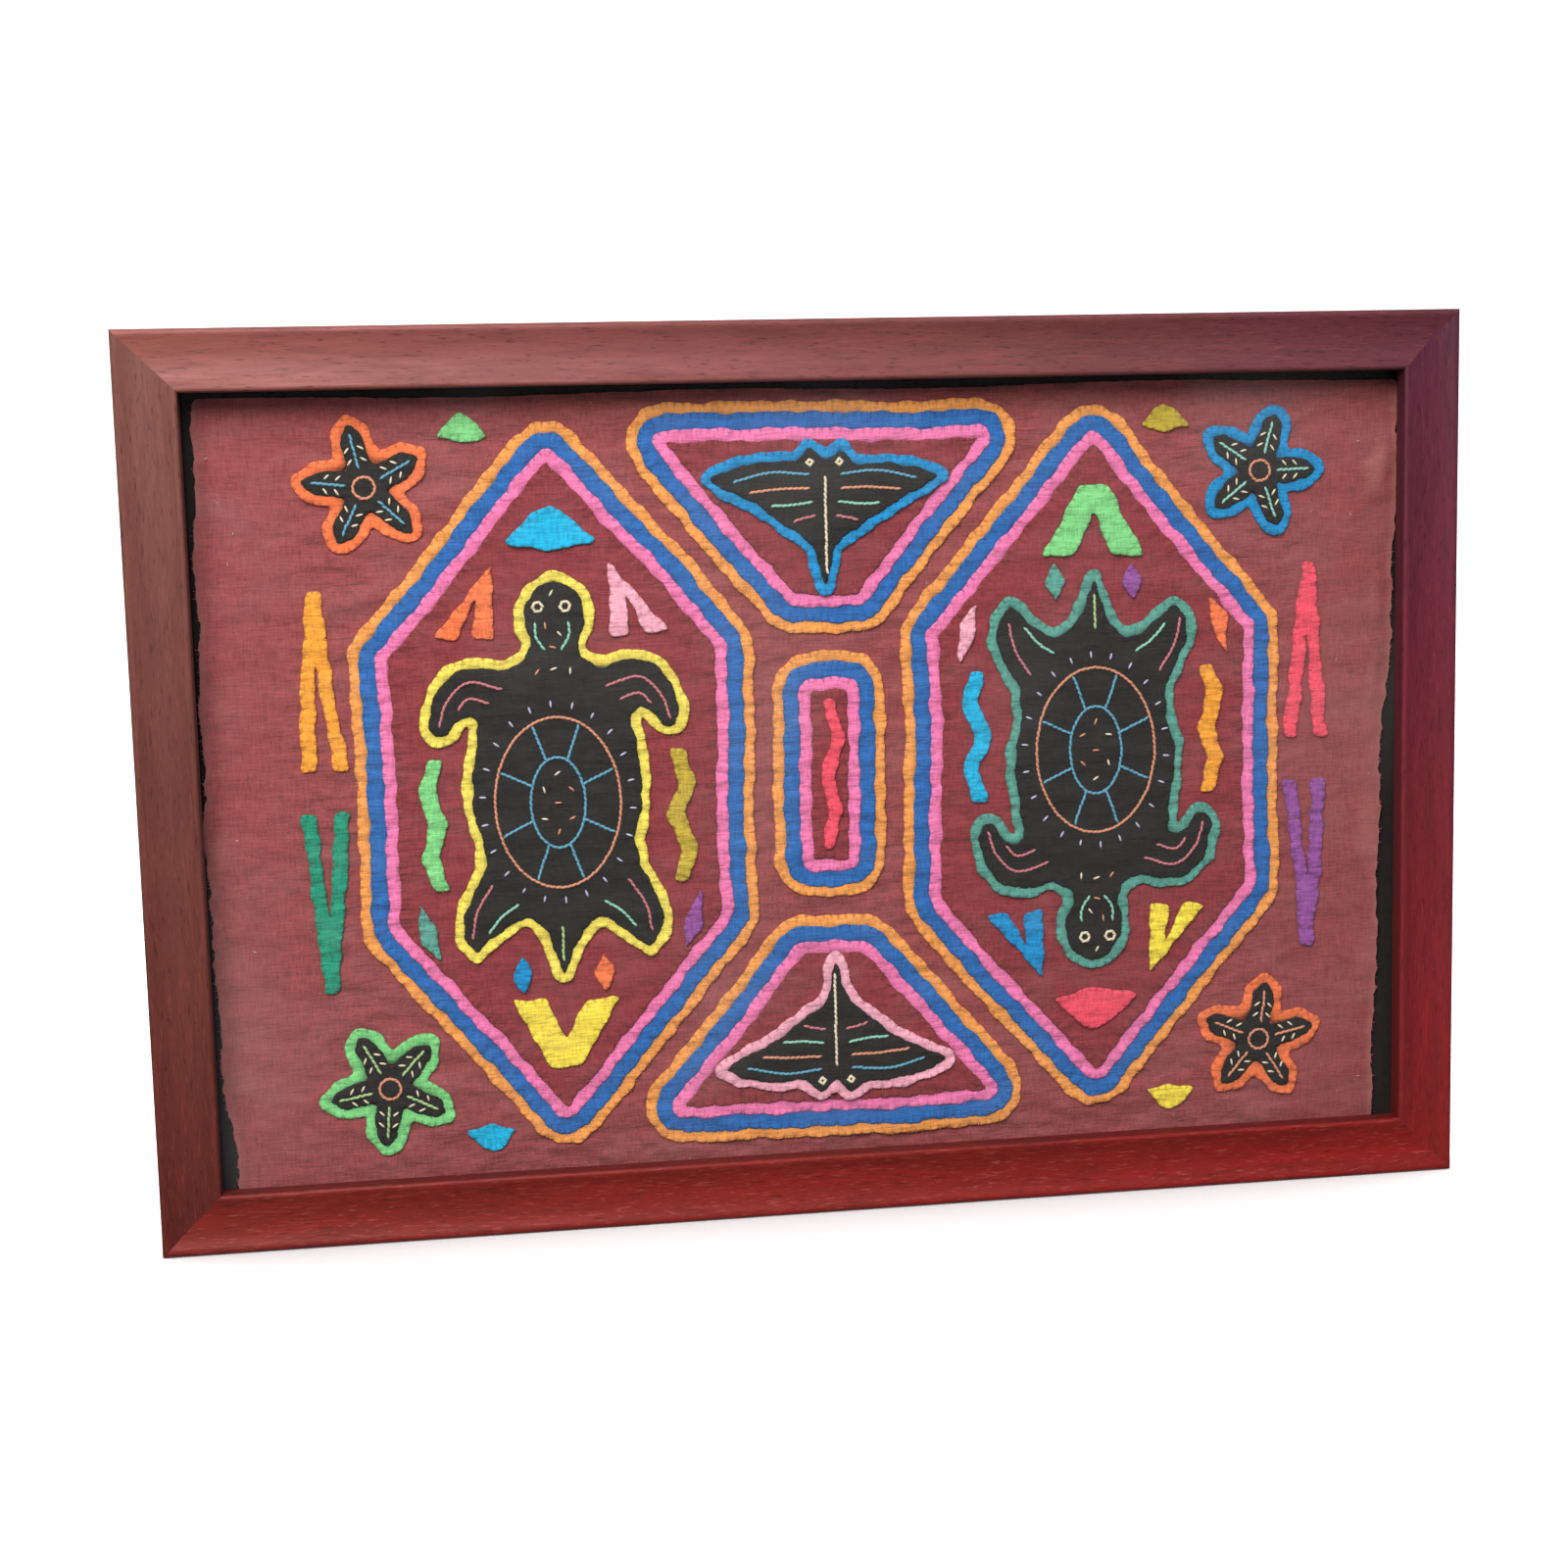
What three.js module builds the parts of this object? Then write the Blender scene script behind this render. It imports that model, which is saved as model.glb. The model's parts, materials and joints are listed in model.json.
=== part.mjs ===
// A framed mola panel: a cotton cloth sewn over with cut pieces, on a black board behind glass,
// in a mitred wooden frame that hangs on a wall. Millimetres.
// In the face group x runs right, y up and z from the wall towards the viewer, with the sight
// opening's middle at x = 0, y = 0 and the wall at z = 0.

import * as THREE from "three";

// Frame
const FRAME_WIDTH = 500;
const FRAME_HEIGHT = 337;
const FRAME_DEPTH = 22;
const RAIL_FACE = 22.5;
const RABBET_WIDTH = 7;
const RABBET_DEPTH = 14;
const ARRIS = 2;
const LIP_ROUND = 1.5;
const SCOOP_DEPTH = 4;
const CURVE_STEPS = 6;

// Fit
const GAP = 0.3;
const SHEET_CLEARANCE = 0.5;

// Glass, board and cloth
const PANE_THICKNESS = 2;
const BOARD_THICKNESS = 2.5;
const BOARD_BACK = 3;
const CLOTH_THICKNESS = 1.2;
const CLOTH_TOP = 143.5;
const CLOTH_BOTTOM = -149;
const CLOTH_COLUMNS = 26;
const CLOTH_ROWS = 18;
const EDGE_WAVE = 0.7;

// Sewn-on pieces
const PATCH_THICKNESS = 1;
const LAYER_STEP = 0.35;
const FIGURE_BAND = 3.5;
const HAND_WAVER = 0.7;
const SIDE_STEP = 32;
const SMALL_TURN = 0.5;
const ARC_STEP = 0.6;

// Where the sewn design lies on the cloth
const DESIGN_MIDDLE = new THREE.Vector2(5, -1.5);
const DESIGN_HALF_WIDTH = 199;

// Heights from the wall
const PANE_BACK = RABBET_DEPTH - GAP - PANE_THICKNESS;
const CLOTH_BACK = BOARD_BACK + BOARD_THICKNESS + GAP;
const GROUND_SEAT = CLOTH_BACK + CLOTH_THICKNESS + GAP;
const FIELD_THICKNESS = PATCH_THICKNESS + 3 * LAYER_STEP;
const FIELD_SEAT = GROUND_SEAT + FIELD_THICKNESS + GAP;

const COLOURS = {
  mahogany: 0x7d2b22,
  glass: 0xdfe8e4,
  black_board: 0x15130f,
  wine: 0x9a4248,
  field_wine: 0x93383f,
  orange: 0xf2a054,
  blue: 0x2c6aae,
  pink: 0xf083b0,
  black: 0x2b2722,
  yellow: 0xf3dc62,
  teal: 0x5fa493,
  sky: 0x1a8fc6,
  rose: 0xf5aebd,
  coral: 0xf27c4a,
  turquoise: 0x1fb2d8,
  mustard: 0xc4a637,
  emerald: 0x259271,
  red: 0xee5468,
  leaf: 0x86d386,
  golden: 0xf5d94b,
  amber: 0xf4a338,
  purple: 0x97529a,
};

// Where the cloth's cut side edges lie, at shares of its height
const CLOTH_SIDES = [
  { up: 0.0, left: -222, right: 221.5 },
  { up: 0.2, left: -226, right: 223 },
  { up: 0.46, left: -227.5, right: 224 },
  { up: 0.72, left: -226, right: 229 },
  { up: 1.0, left: -224, right: 231 },
];

// Loose folds in the plain margins: middle, half-length along, half-width across, turn and lift
const MARGIN_FOLDS = [
  { x: 220, y: 108, along: 26, across: 5, turn: 0.9, lift: 1.6 },
  { x: 219, y: 66, along: 18, across: 7, turn: 0.2, lift: 0.7 },
  { x: 216, y: 22, along: 20, across: 6, turn: -0.1, lift: 0.9 },
  { x: 215, y: -30, along: 18, across: 8, turn: 0.15, lift: 0.7 },
  { x: 214, y: -88, along: 20, across: 7, turn: -0.2, lift: 1.0 },
  { x: 221, y: -20, along: 110, across: 6, turn: 1.57, lift: 1.1 },
  { x: -214, y: 74, along: 20, across: 9, turn: 0.1, lift: 0.7 },
  { x: -212, y: -24, along: 22, across: 8, turn: -0.15, lift: 0.8 },
  { x: -210, y: -108, along: 20, across: 9, turn: 0.2, lift: 0.7 },
  { x: -224, y: -40, along: 90, across: 5, turn: 1.57, lift: 0.7 },
];

// The bands around a field, from the inside out, with the layers of cotton under each
const BANDS = [
  { dye: "pink", width: 4.5, layers: 2 },
  { dye: "blue", width: 6, layers: 1 },
  { dye: "orange", width: 4, layers: 0 },
];

// Banded fields, each a polygon about its middle; those with `flip` stand upside down
const HEXAGON = [
  { x: 60, y: -50 },
  { x: 60, y: 50 },
  { x: 0, y: 122 },
  { x: -60, y: 50 },
  { x: -60, y: -50 },
  { x: 0, y: -122 },
];
const BAR = [
  { x: 7, y: -33 },
  { x: 7, y: 33 },
  { x: -7, y: 33 },
  { x: -7, y: -33 },
];
const TRAPEZIUM = [
  { x: 12, y: -28.5 },
  { x: 59, y: 28.5 },
  { x: -59, y: 28.5 },
  { x: -12, y: -28.5 },
];
const FIELDS = [
  { name: "left_field", corners: HEXAGON, x: -103, y: 0, flip: false },
  { name: "right_field", corners: HEXAGON, x: 103, y: 0, flip: false },
  { name: "centre_bar", corners: BAR, x: 0, y: 0, flip: false },
  { name: "top_field", corners: TRAPEZIUM, x: 0, y: 97.5, flip: false },
  { name: "bottom_field", corners: TRAPEZIUM, x: 0, y: -97.5, flip: true },
];

// Half of a turtle seen from above, from the crown of its head round to the tip of its tail
const HALF_TURTLE = [
  { place: "crown", x: 0, y: 80 },
  { place: "cheek", x: 10, y: 73 },
  { place: "jaw", x: 11, y: 62 },
  { place: "neck", x: 8, y: 53 },
  { place: "shoulder", x: 17, y: 46 },
  { place: "front_flipper_lead", x: 32, y: 49 },
  { place: "front_flipper_bend", x: 43, y: 40 },
  { place: "front_flipper_tip", x: 46, y: 24 },
  { place: "front_flipper_heel", x: 40, y: 23 },
  { place: "front_flipper_trail", x: 34, y: 31 },
  { place: "armpit", x: 28, y: 28 },
  { place: "shell_upper", x: 31, y: 13 },
  { place: "shell_middle", x: 32, y: -5 },
  { place: "shell_lower", x: 28, y: -24 },
  { place: "hind_flipper_lead", x: 33, y: -36 },
  { place: "hind_flipper_bend", x: 38, y: -50 },
  { place: "hind_flipper_tip", x: 32, y: -60 },
  { place: "hind_flipper_trail", x: 22, y: -51 },
  { place: "rump", x: 13, y: -47 },
  { place: "tail_root", x: 5, y: -55 },
  { place: "tail_tip", x: 0, y: -69 },
];

// Half of a ray seen from above, from between its horns round to the tip of its tail
const HALF_RAY = [
  { place: "mouth", x: 0, y: 15 },
  { place: "horn", x: 6, y: 20 },
  { place: "cheek", x: 11, y: 15 },
  { place: "wing_lead", x: 25, y: 15 },
  { place: "wing_tip", x: 43, y: 9 },
  { place: "wing_trail", x: 26, y: 0 },
  { place: "flank", x: 12, y: -10 },
  { place: "tail_root", x: 4, y: -16 },
  { place: "tail", x: 2, y: -25 },
  { place: "tail_tip", x: 0, y: -31 },
];

// A starfish: the radius of its middle, how far its arms swing in and out, and the arms
const STAR_RADIUS = 15.5;
const STAR_SWING = 8;
const STAR_ARMS = 5;
const POINTS_PER_ARM = 6;

// Black figures with a coloured band around each, on a field or on the bare ground
const FIELD_FIGURES = [
  { name: "left_turtle", kind: "turtle", band: "yellow", x: -103, y: -2, turn: 0 },
  { name: "right_turtle", kind: "turtle", band: "teal", x: 103, y: 2, turn: Math.PI },
  { name: "top_ray", kind: "ray", band: "sky", x: 0, y: 103, turn: 0 },
  { name: "bottom_ray", kind: "ray", band: "rose", x: 0, y: -103, turn: Math.PI },
];
const GROUND_FIGURES = [
  { name: "top_left_star", kind: "star", band: "coral", x: -170, y: 112, turn: 0.2 },
  { name: "top_right_star", kind: "star", band: "sky", x: 170, y: 111, turn: -0.3 },
  { name: "low_left_star", kind: "star", band: "leaf", x: -170, y: -112, turn: 0.5 },
  { name: "low_right_star", kind: "star", band: "coral", x: 170, y: -112, turn: -0.1 },
];

// Small filler pieces: a wedge is split from its foot, a sliver is a leaf-like slip, a bolt zigzags
const GROUND_FILLERS = [
  { name: "left_wedge_up", kind: "wedge", dye: "amber", x: -189, y: 42, w: 18, h: 66, flip: false },
  { name: "left_wedge_down", kind: "wedge", dye: "emerald", x: -189, y: -40, w: 18, h: 68, flip: true },
  { name: "right_wedge_up", kind: "wedge", dye: "red", x: 189, y: 41, w: 18, h: 68, flip: false },
  { name: "right_wedge_down", kind: "wedge", dye: "purple", x: 189, y: -42, w: 18, h: 66, flip: true },
  { name: "top_left_sliver", kind: "sliver", dye: "leaf", x: -133, y: 133, w: 20, h: 11, flip: false },
  { name: "top_right_sliver", kind: "sliver", dye: "mustard", x: 133, y: 132, w: 20, h: 11, flip: false },
  { name: "low_left_sliver", kind: "sliver", dye: "turquoise", x: -133, y: -133, w: 20, h: 11, flip: true },
  { name: "low_right_sliver", kind: "sliver", dye: "golden", x: 133, y: -133, w: 20, h: 11, flip: true },
];
const FIELD_FILLERS = [
  { name: "left_head_sliver", kind: "sliver", dye: "turquoise", x: -103, y: 97, w: 34, h: 18, flip: false },
  { name: "left_tail_wedge", kind: "wedge", dye: "golden", x: -103, y: -93, w: 40, h: 26, flip: true },
  { name: "left_near_bolt", kind: "bolt", dye: "mustard", x: -57, y: -12, w: 13, h: 50, flip: false },
  { name: "left_far_bolt", kind: "bolt", dye: "leaf", x: -149, y: -12, w: 13, h: 50, flip: true },
  { name: "right_head_sliver", kind: "sliver", dye: "red", x: 103, y: -97, w: 34, h: 18, flip: true },
  { name: "right_tail_wedge", kind: "wedge", dye: "leaf", x: 103, y: 93, w: 40, h: 26, flip: false },
  { name: "right_near_bolt", kind: "bolt", dye: "turquoise", x: 57, y: 12, w: 13, h: 50, flip: true },
  { name: "right_far_bolt", kind: "bolt", dye: "amber", x: 149, y: 12, w: 13, h: 50, flip: false },
  { name: "centre_bolt", kind: "bolt", dye: "red", x: 0, y: 0, w: 10, h: 58, flip: false },
];

function cotton(dye) {
  return new THREE.MeshStandardMaterial({ color: COLOURS[dye], roughness: 0.92, metalness: 0 });
}

function piece(name, geometry, material) {
  const mesh = new THREE.Mesh(geometry, material);
  mesh.name = name;
  return mesh;
}

// The rail's section: `across` from the outer edge to the sight edge, `out` from the wall to the front.
function railSection() {
  const section = new THREE.Shape();
  const crest = FRAME_DEPTH - 1;
  const lipStart = RAIL_FACE - LIP_ROUND;
  section.moveTo(0, 0);
  section.lineTo(0, crest - ARRIS);
  section.quadraticCurveTo(0, crest, ARRIS, crest);
  section.quadraticCurveTo(RAIL_FACE / 2, crest - SCOOP_DEPTH, lipStart, FRAME_DEPTH);
  section.quadraticCurveTo(RAIL_FACE, FRAME_DEPTH, RAIL_FACE, FRAME_DEPTH - LIP_ROUND);
  section.lineTo(RAIL_FACE, RABBET_DEPTH);
  section.lineTo(RAIL_FACE - RABBET_WIDTH, RABBET_DEPTH);
  section.lineTo(RAIL_FACE - RABBET_WIDTH, 0);
  return section;
}

// A rail whose outer edge lies `reach` above the middle, with both ends cut back at 45 degrees.
function mitredRail(length, reach) {
  const rail = new THREE.ExtrudeGeometry(railSection(), {
    depth: length,
    steps: 1,
    curveSegments: CURVE_STEPS,
    bevelEnabled: false,
  });
  const points = rail.getAttribute("position");
  const setBack = (GAP / 2) * Math.SQRT2;
  for (let i = 0; i < points.count; i += 1) {
    const across = points.getX(i);
    const end = points.getZ(i) > length / 2 ? -1 : 1;
    points.setXYZ(i, end * (length / 2 - across - setBack), reach - across, points.getY(i));
  }
  return rail;
}

// A soft step from 0 to 1.
function ease(value) {
  const share = THREE.MathUtils.clamp(value, 0, 1);
  return share * share * (3 - 2 * share);
}

function clothSide(up, side) {
  const next = Math.max(1, CLOTH_SIDES.findIndex((row) => row.up >= up));
  const low = CLOTH_SIDES[next - 1];
  const high = CLOTH_SIDES[next];
  const share = ease((up - low.up) / (high.up - low.up));
  return THREE.MathUtils.lerp(low[side], high[side], share);
}

// How far the loose margins lift off the board; the sewn middle lies flat.
function clothLift(x, y) {
  const fromDesign = Math.abs(x - DESIGN_MIDDLE.x) - DESIGN_HALF_WIDTH;
  const lift = MARGIN_FOLDS.reduce((sum, fold) => {
    const dx = x - fold.x;
    const dy = y - fold.y;
    const along = (dx * Math.cos(fold.turn) + dy * Math.sin(fold.turn)) / fold.along;
    const across = (dy * Math.cos(fold.turn) - dx * Math.sin(fold.turn)) / fold.across;
    return sum + fold.lift * Math.exp(-along * along - across * across);
  }, 0);
  return lift * ease(fromDesign / 10);
}

// The ground cloth: a sheet of even thickness between wavering cut edges.
function groundCloth() {
  const points = [];
  const faces = [];
  const columns = CLOTH_COLUMNS + 1;
  const rows = CLOTH_ROWS + 1;
  const layer = columns * rows;
  // Columns crowd towards both side edges, where the folds lie.
  const spread = (share) => 0.5 - Math.cos(Math.PI * share) * 0.5;
  for (const face of [0, CLOTH_THICKNESS]) {
    for (let r = 0; r < rows; r += 1) {
      const up = r / CLOTH_ROWS;
      const left = clothSide(up, "left") + EDGE_WAVE * Math.sin(r * 2.1);
      const right = clothSide(up, "right") + EDGE_WAVE * Math.sin(r * 1.7 + 1);
      for (let c = 0; c < columns; c += 1) {
        const x = THREE.MathUtils.lerp(left, right, spread(c / CLOTH_COLUMNS));
        const waver = EDGE_WAVE * Math.sin(x / 27 + up * 3);
        const y = THREE.MathUtils.lerp(CLOTH_BOTTOM, CLOTH_TOP, up) + waver;
        points.push(x, y, clothLift(x, y) + face);
      }
    }
  }
  const quad = (a, b, c, d) => faces.push(a, b, c, a, c, d);
  for (let r = 0; r < CLOTH_ROWS; r += 1) {
    for (let c = 0; c < CLOTH_COLUMNS; c += 1) {
      const corner = r * columns + c;
      quad(layer + corner, layer + corner + 1, layer + corner + columns + 1, layer + corner + columns);
      quad(corner, corner + columns, corner + columns + 1, corner + 1);
    }
  }
  for (let c = 0; c < CLOTH_COLUMNS; c += 1) {
    const top = CLOTH_ROWS * columns + c;
    quad(c, c + 1, layer + c + 1, layer + c);
    quad(top + 1, top, layer + top, layer + top + 1);
  }
  for (let r = 0; r < CLOTH_ROWS; r += 1) {
    const left = r * columns;
    const right = left + CLOTH_COLUMNS;
    quad(left + columns, left, layer + left, layer + left + columns);
    quad(right, right + columns, layer + right + columns, layer + right);
  }
  const cloth = new THREE.BufferGeometry();
  cloth.setAttribute("position", new THREE.Float32BufferAttribute(points, 3));
  cloth.setIndex(faces);
  cloth.computeVertexNormals();
  return cloth;
}

// The hand-cut waver of a line that would otherwise be ruled.
function handCut(point) {
  const dx = Math.sin(point.y / 19 + point.x / 41) + 0.6 * Math.sin(point.y / 8.3);
  const dy = Math.sin(point.x / 21 - point.y / 37) + 0.6 * Math.sin(point.x / 9.1 + 2);
  return new THREE.Vector2(point.x + HAND_WAVER * dx, point.y + HAND_WAVER * dy);
}

// Corners set down on the cloth: turned, moved to their place, always listed counter-clockwise.
function placed(corners, x, y, turn) {
  const middle = new THREE.Vector2(0, 0);
  const offset = new THREE.Vector2(x, y).add(DESIGN_MIDDLE);
  const outline = corners.map((c) => new THREE.Vector2(c.x, c.y).rotateAround(middle, turn).add(offset));
  return THREE.ShapeUtils.isClockWise(outline) ? outline.reverse() : outline;
}

// Points along straight sides, so that a long side can waver too.
function alongSides(corners) {
  return corners.flatMap((corner, i) => {
    const next = corners[(i + 1) % corners.length];
    const count = Math.max(1, Math.round(corner.distanceTo(next) / SIDE_STEP));
    return Array.from({ length: count }, (_, k) => corner.clone().lerp(next, k / count));
  });
}

// A smooth closed line through the given points.
function smooth(points, count) {
  const knots = points.map((p) => new THREE.Vector3(p.x, p.y, 0));
  const curve = new THREE.CatmullRomCurve3(knots, true, "centripetal");
  return curve.getPoints(count).slice(0, count);
}

function outwardNormal(from, to) {
  return new THREE.Vector2(to.y - from.y, from.x - to.x).normalize();
}

function distanceToOutline(outline, point) {
  const nearest = new THREE.Vector2();
  return Math.min(...outline.map((from, i) => {
    const side = outline[(i + 1) % outline.length].clone().sub(from);
    const share = THREE.MathUtils.clamp(point.clone().sub(from).dot(side) / side.lengthSq(), 0, 1);
    return nearest.copy(from).addScaledVector(side, share).distanceTo(point);
  }));
}

// The outline moved outwards, rounded at its outward corners and trimmed where a notch closes.
function grown(outline, distance) {
  const middle = new THREE.Vector2(0, 0);
  const moved = outline.flatMap((here, i) => {
    const before = outwardNormal(outline.at(i - 1), here);
    const after = outwardNormal(here, outline[(i + 1) % outline.length]);
    const turn = Math.atan2(before.cross(after), before.dot(after));
    if (turn < SMALL_TURN) {
      const reach = distance / (1 + before.dot(after));
      return [here.clone().addScaledVector(before.add(after), reach)];
    }
    const steps = Math.ceil(turn / ARC_STEP);
    return Array.from({ length: steps + 1 }, (_, k) => {
      const direction = before.clone().rotateAround(middle, (turn * k) / steps);
      return here.clone().addScaledVector(direction, distance);
    });
  });
  return moved.filter((point) => distanceToOutline(outline, point) > distance - 0.05);
}

// A cut piece of cotton, with an opening where another piece is let into it.
function patch(outline, thickness, opening) {
  const shape = new THREE.Shape(outline);
  if (opening) {
    shape.holes.push(new THREE.Path(opening));
  }
  return new THREE.ExtrudeGeometry(shape, { depth: thickness, steps: 1, bevelEnabled: false });
}

function bandedField(field) {
  const corners = placed(field.corners, field.x, field.y, field.flip ? Math.PI : 0);
  const inner = alongSides(corners).map(handCut);
  const meshes = [piece(field.name, patch(inner, FIELD_THICKNESS), cotton("field_wine"))];
  let reach = 0;
  BANDS.forEach((band) => {
    const opening = grown(inner, reach + GAP);
    reach += band.width;
    const ring = patch(grown(inner, reach), PATCH_THICKNESS + band.layers * LAYER_STEP, opening);
    meshes.push(piece(`${field.name}_${band.dye}_band`, ring, cotton(band.dye)));
  });
  meshes.forEach((mesh) => mesh.position.setZ(GROUND_SEAT));
  return meshes;
}

// A right half outline and its mirror image, joined into one ring of points.
function mirrored(half) {
  const other = half.slice(1, -1).reverse();
  return [...half, ...other.map((p) => ({ x: -p.x, y: p.y }))];
}

function star() {
  const count = STAR_ARMS * POINTS_PER_ARM;
  return Array.from({ length: count }, (_, i) => {
    const angle = (i / count) * Math.PI * 2;
    const radius = STAR_RADIUS + STAR_SWING * Math.cos(STAR_ARMS * angle);
    return { x: radius * Math.sin(angle), y: radius * Math.cos(angle) };
  });
}

const FIGURE_OUTLINES = {
  turtle: () => smooth(mirrored(HALF_TURTLE), 60),
  ray: () => smooth(mirrored(HALF_RAY), 36),
  star,
};

function bandedFigure(figure, seat) {
  const shape = FIGURE_OUTLINES[figure.kind]();
  const body = placed(shape, figure.x, figure.y, figure.turn).map(handCut);
  const ring = patch(grown(body, FIGURE_BAND), PATCH_THICKNESS, grown(body, GAP));
  const meshes = [
    piece(`${figure.name}_outline`, ring, cotton(figure.band)),
    piece(figure.name, patch(body, PATCH_THICKNESS + LAYER_STEP), cotton("black")),
  ];
  meshes.forEach((mesh) => mesh.position.setZ(seat));
  return meshes;
}

// Filler outlines about their middle, in shares of their width and height
const FILLER_OUTLINES = {
  wedge: [
    { x: -0.5, y: -0.5 },
    { x: -0.18, y: -0.5 },
    { x: 0, y: 0.1 },
    { x: 0.18, y: -0.5 },
    { x: 0.5, y: -0.5 },
    { x: 0.14, y: 0.5 },
    { x: -0.14, y: 0.5 },
  ],
  sliver: [
    { x: -0.5, y: -0.3 },
    { x: 0, y: -0.5 },
    { x: 0.5, y: -0.3 },
    { x: 0.22, y: 0.25 },
    { x: 0, y: 0.5 },
    { x: -0.22, y: 0.25 },
  ],
  bolt: [
    { x: 0.15, y: -0.5 },
    { x: 0.5, y: -0.25 },
    { x: 0.15, y: 0 },
    { x: 0.5, y: 0.25 },
    { x: 0.15, y: 0.5 },
    { x: -0.3, y: 0.5 },
    { x: 0, y: 0.25 },
    { x: -0.4, y: 0 },
    { x: 0, y: -0.25 },
    { x: -0.3, y: -0.5 },
  ],
};

function filler(row, seat) {
  const shape = FILLER_OUTLINES[row.kind].map((p) => ({ x: p.x * row.w, y: p.y * row.h }));
  const outline = alongSides(placed(shape, row.x, row.y, row.flip ? Math.PI : 0)).map(handCut);
  const mesh = piece(`${row.name}_filler`, patch(outline, PATCH_THICKNESS), cotton(row.dye));
  mesh.position.setZ(seat);
  return mesh;
}

function wood() {
  return new THREE.MeshStandardMaterial({ color: COLOURS.mahogany, roughness: 0.4, metalness: 0 });
}

const RAILS = [
  { name: "top_rail", length: FRAME_WIDTH, reach: FRAME_HEIGHT / 2, quarter: 0 },
  { name: "left_rail", length: FRAME_HEIGHT, reach: FRAME_WIDTH / 2, quarter: 1 },
  { name: "bottom_rail", length: FRAME_WIDTH, reach: FRAME_HEIGHT / 2, quarter: 2 },
  { name: "right_rail", length: FRAME_HEIGHT, reach: FRAME_WIDTH / 2, quarter: 3 },
];

const face = new THREE.Group();
RAILS.forEach((row) => {
  const rail = piece(row.name, mitredRail(row.length, row.reach), wood());
  rail.rotation.z = (row.quarter * Math.PI) / 2;
  face.add(rail);
});

const insetEachSide = RAIL_FACE - RABBET_WIDTH + SHEET_CLEARANCE;
const sheetWidth = FRAME_WIDTH - 2 * insetEachSide;
const sheetHeight = FRAME_HEIGHT - 2 * insetEachSide;

const pane = piece(
  "glazing",
  new THREE.BoxGeometry(sheetWidth, sheetHeight, PANE_THICKNESS),
  new THREE.MeshStandardMaterial({
    color: COLOURS.glass,
    roughness: 0.05,
    metalness: 0,
    transparent: true,
    opacity: 0.2,
  }),
);
pane.position.setZ(PANE_BACK + PANE_THICKNESS / 2);
face.add(pane);

const board = piece(
  "mount_board",
  new THREE.BoxGeometry(sheetWidth, sheetHeight, BOARD_THICKNESS),
  new THREE.MeshStandardMaterial({ color: COLOURS.black_board, roughness: 0.85, metalness: 0 }),
);
board.position.setZ(BOARD_BACK + BOARD_THICKNESS / 2);
face.add(board);

const cloth = piece("ground_cloth", groundCloth(), cotton("wine"));
cloth.position.setZ(CLOTH_BACK);
face.add(cloth);

const sewn = [
  ...FIELDS.flatMap(bandedField),
  ...FIELD_FIGURES.flatMap((figure) => bandedFigure(figure, FIELD_SEAT)),
  ...GROUND_FIGURES.flatMap((figure) => bandedFigure(figure, GROUND_SEAT)),
  ...FIELD_FILLERS.map((row) => filler(row, FIELD_SEAT)),
  ...GROUND_FILLERS.map((row) => filler(row, GROUND_SEAT)),
];
sewn.forEach((mesh) => face.add(mesh));

// Stood upright with the wall behind: the middle of the top rail's back face is the part's origin.
const hangHeight = (RAIL_FACE - RABBET_WIDTH) / 2;
face.rotation.x = Math.PI / 2;
face.position.z = hangHeight - FRAME_HEIGHT / 2;

const group = new THREE.Group();
group.add(face);

export default group;
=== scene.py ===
"""The look of a framed mola panel: sewn cotton, threads, board, glass and a mitred wooden frame.

Lengths are in metres in the part's own frame: x right, z up, and the glazed face looks along -y.
`out` is a distance from the wall towards the viewer, so y = -out.
"""

import json
import math

import bmesh
import bpy
import numpy as np
from mathutils import Matrix, Vector
from mathutils.bvhtree import BVHTree
from mathutils.geometry import delaunay_2d_cdt
from mathutils.kdtree import KDTree


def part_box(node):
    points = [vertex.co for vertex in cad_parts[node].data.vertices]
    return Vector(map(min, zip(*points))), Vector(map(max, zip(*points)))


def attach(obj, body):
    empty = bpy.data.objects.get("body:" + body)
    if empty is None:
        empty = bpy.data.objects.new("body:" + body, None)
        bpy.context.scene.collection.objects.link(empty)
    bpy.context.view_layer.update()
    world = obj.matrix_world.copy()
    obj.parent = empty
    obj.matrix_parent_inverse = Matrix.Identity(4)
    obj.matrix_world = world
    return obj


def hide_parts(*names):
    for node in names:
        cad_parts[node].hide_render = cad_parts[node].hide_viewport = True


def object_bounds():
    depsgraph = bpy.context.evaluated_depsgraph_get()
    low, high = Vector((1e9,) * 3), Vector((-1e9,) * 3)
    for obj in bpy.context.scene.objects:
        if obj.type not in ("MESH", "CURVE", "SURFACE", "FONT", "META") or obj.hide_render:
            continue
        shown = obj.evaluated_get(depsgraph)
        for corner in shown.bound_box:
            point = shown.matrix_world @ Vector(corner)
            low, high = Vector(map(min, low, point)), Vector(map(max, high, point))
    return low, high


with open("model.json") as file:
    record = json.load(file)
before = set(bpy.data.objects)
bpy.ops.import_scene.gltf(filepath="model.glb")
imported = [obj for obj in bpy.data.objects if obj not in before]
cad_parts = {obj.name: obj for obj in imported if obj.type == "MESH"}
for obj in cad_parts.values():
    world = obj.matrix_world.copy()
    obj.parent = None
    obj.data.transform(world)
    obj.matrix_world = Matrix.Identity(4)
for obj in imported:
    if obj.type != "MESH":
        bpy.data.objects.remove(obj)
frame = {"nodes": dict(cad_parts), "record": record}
CAD_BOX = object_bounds()

MM = 0.001
RNG = np.random.default_rng(41)

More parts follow.
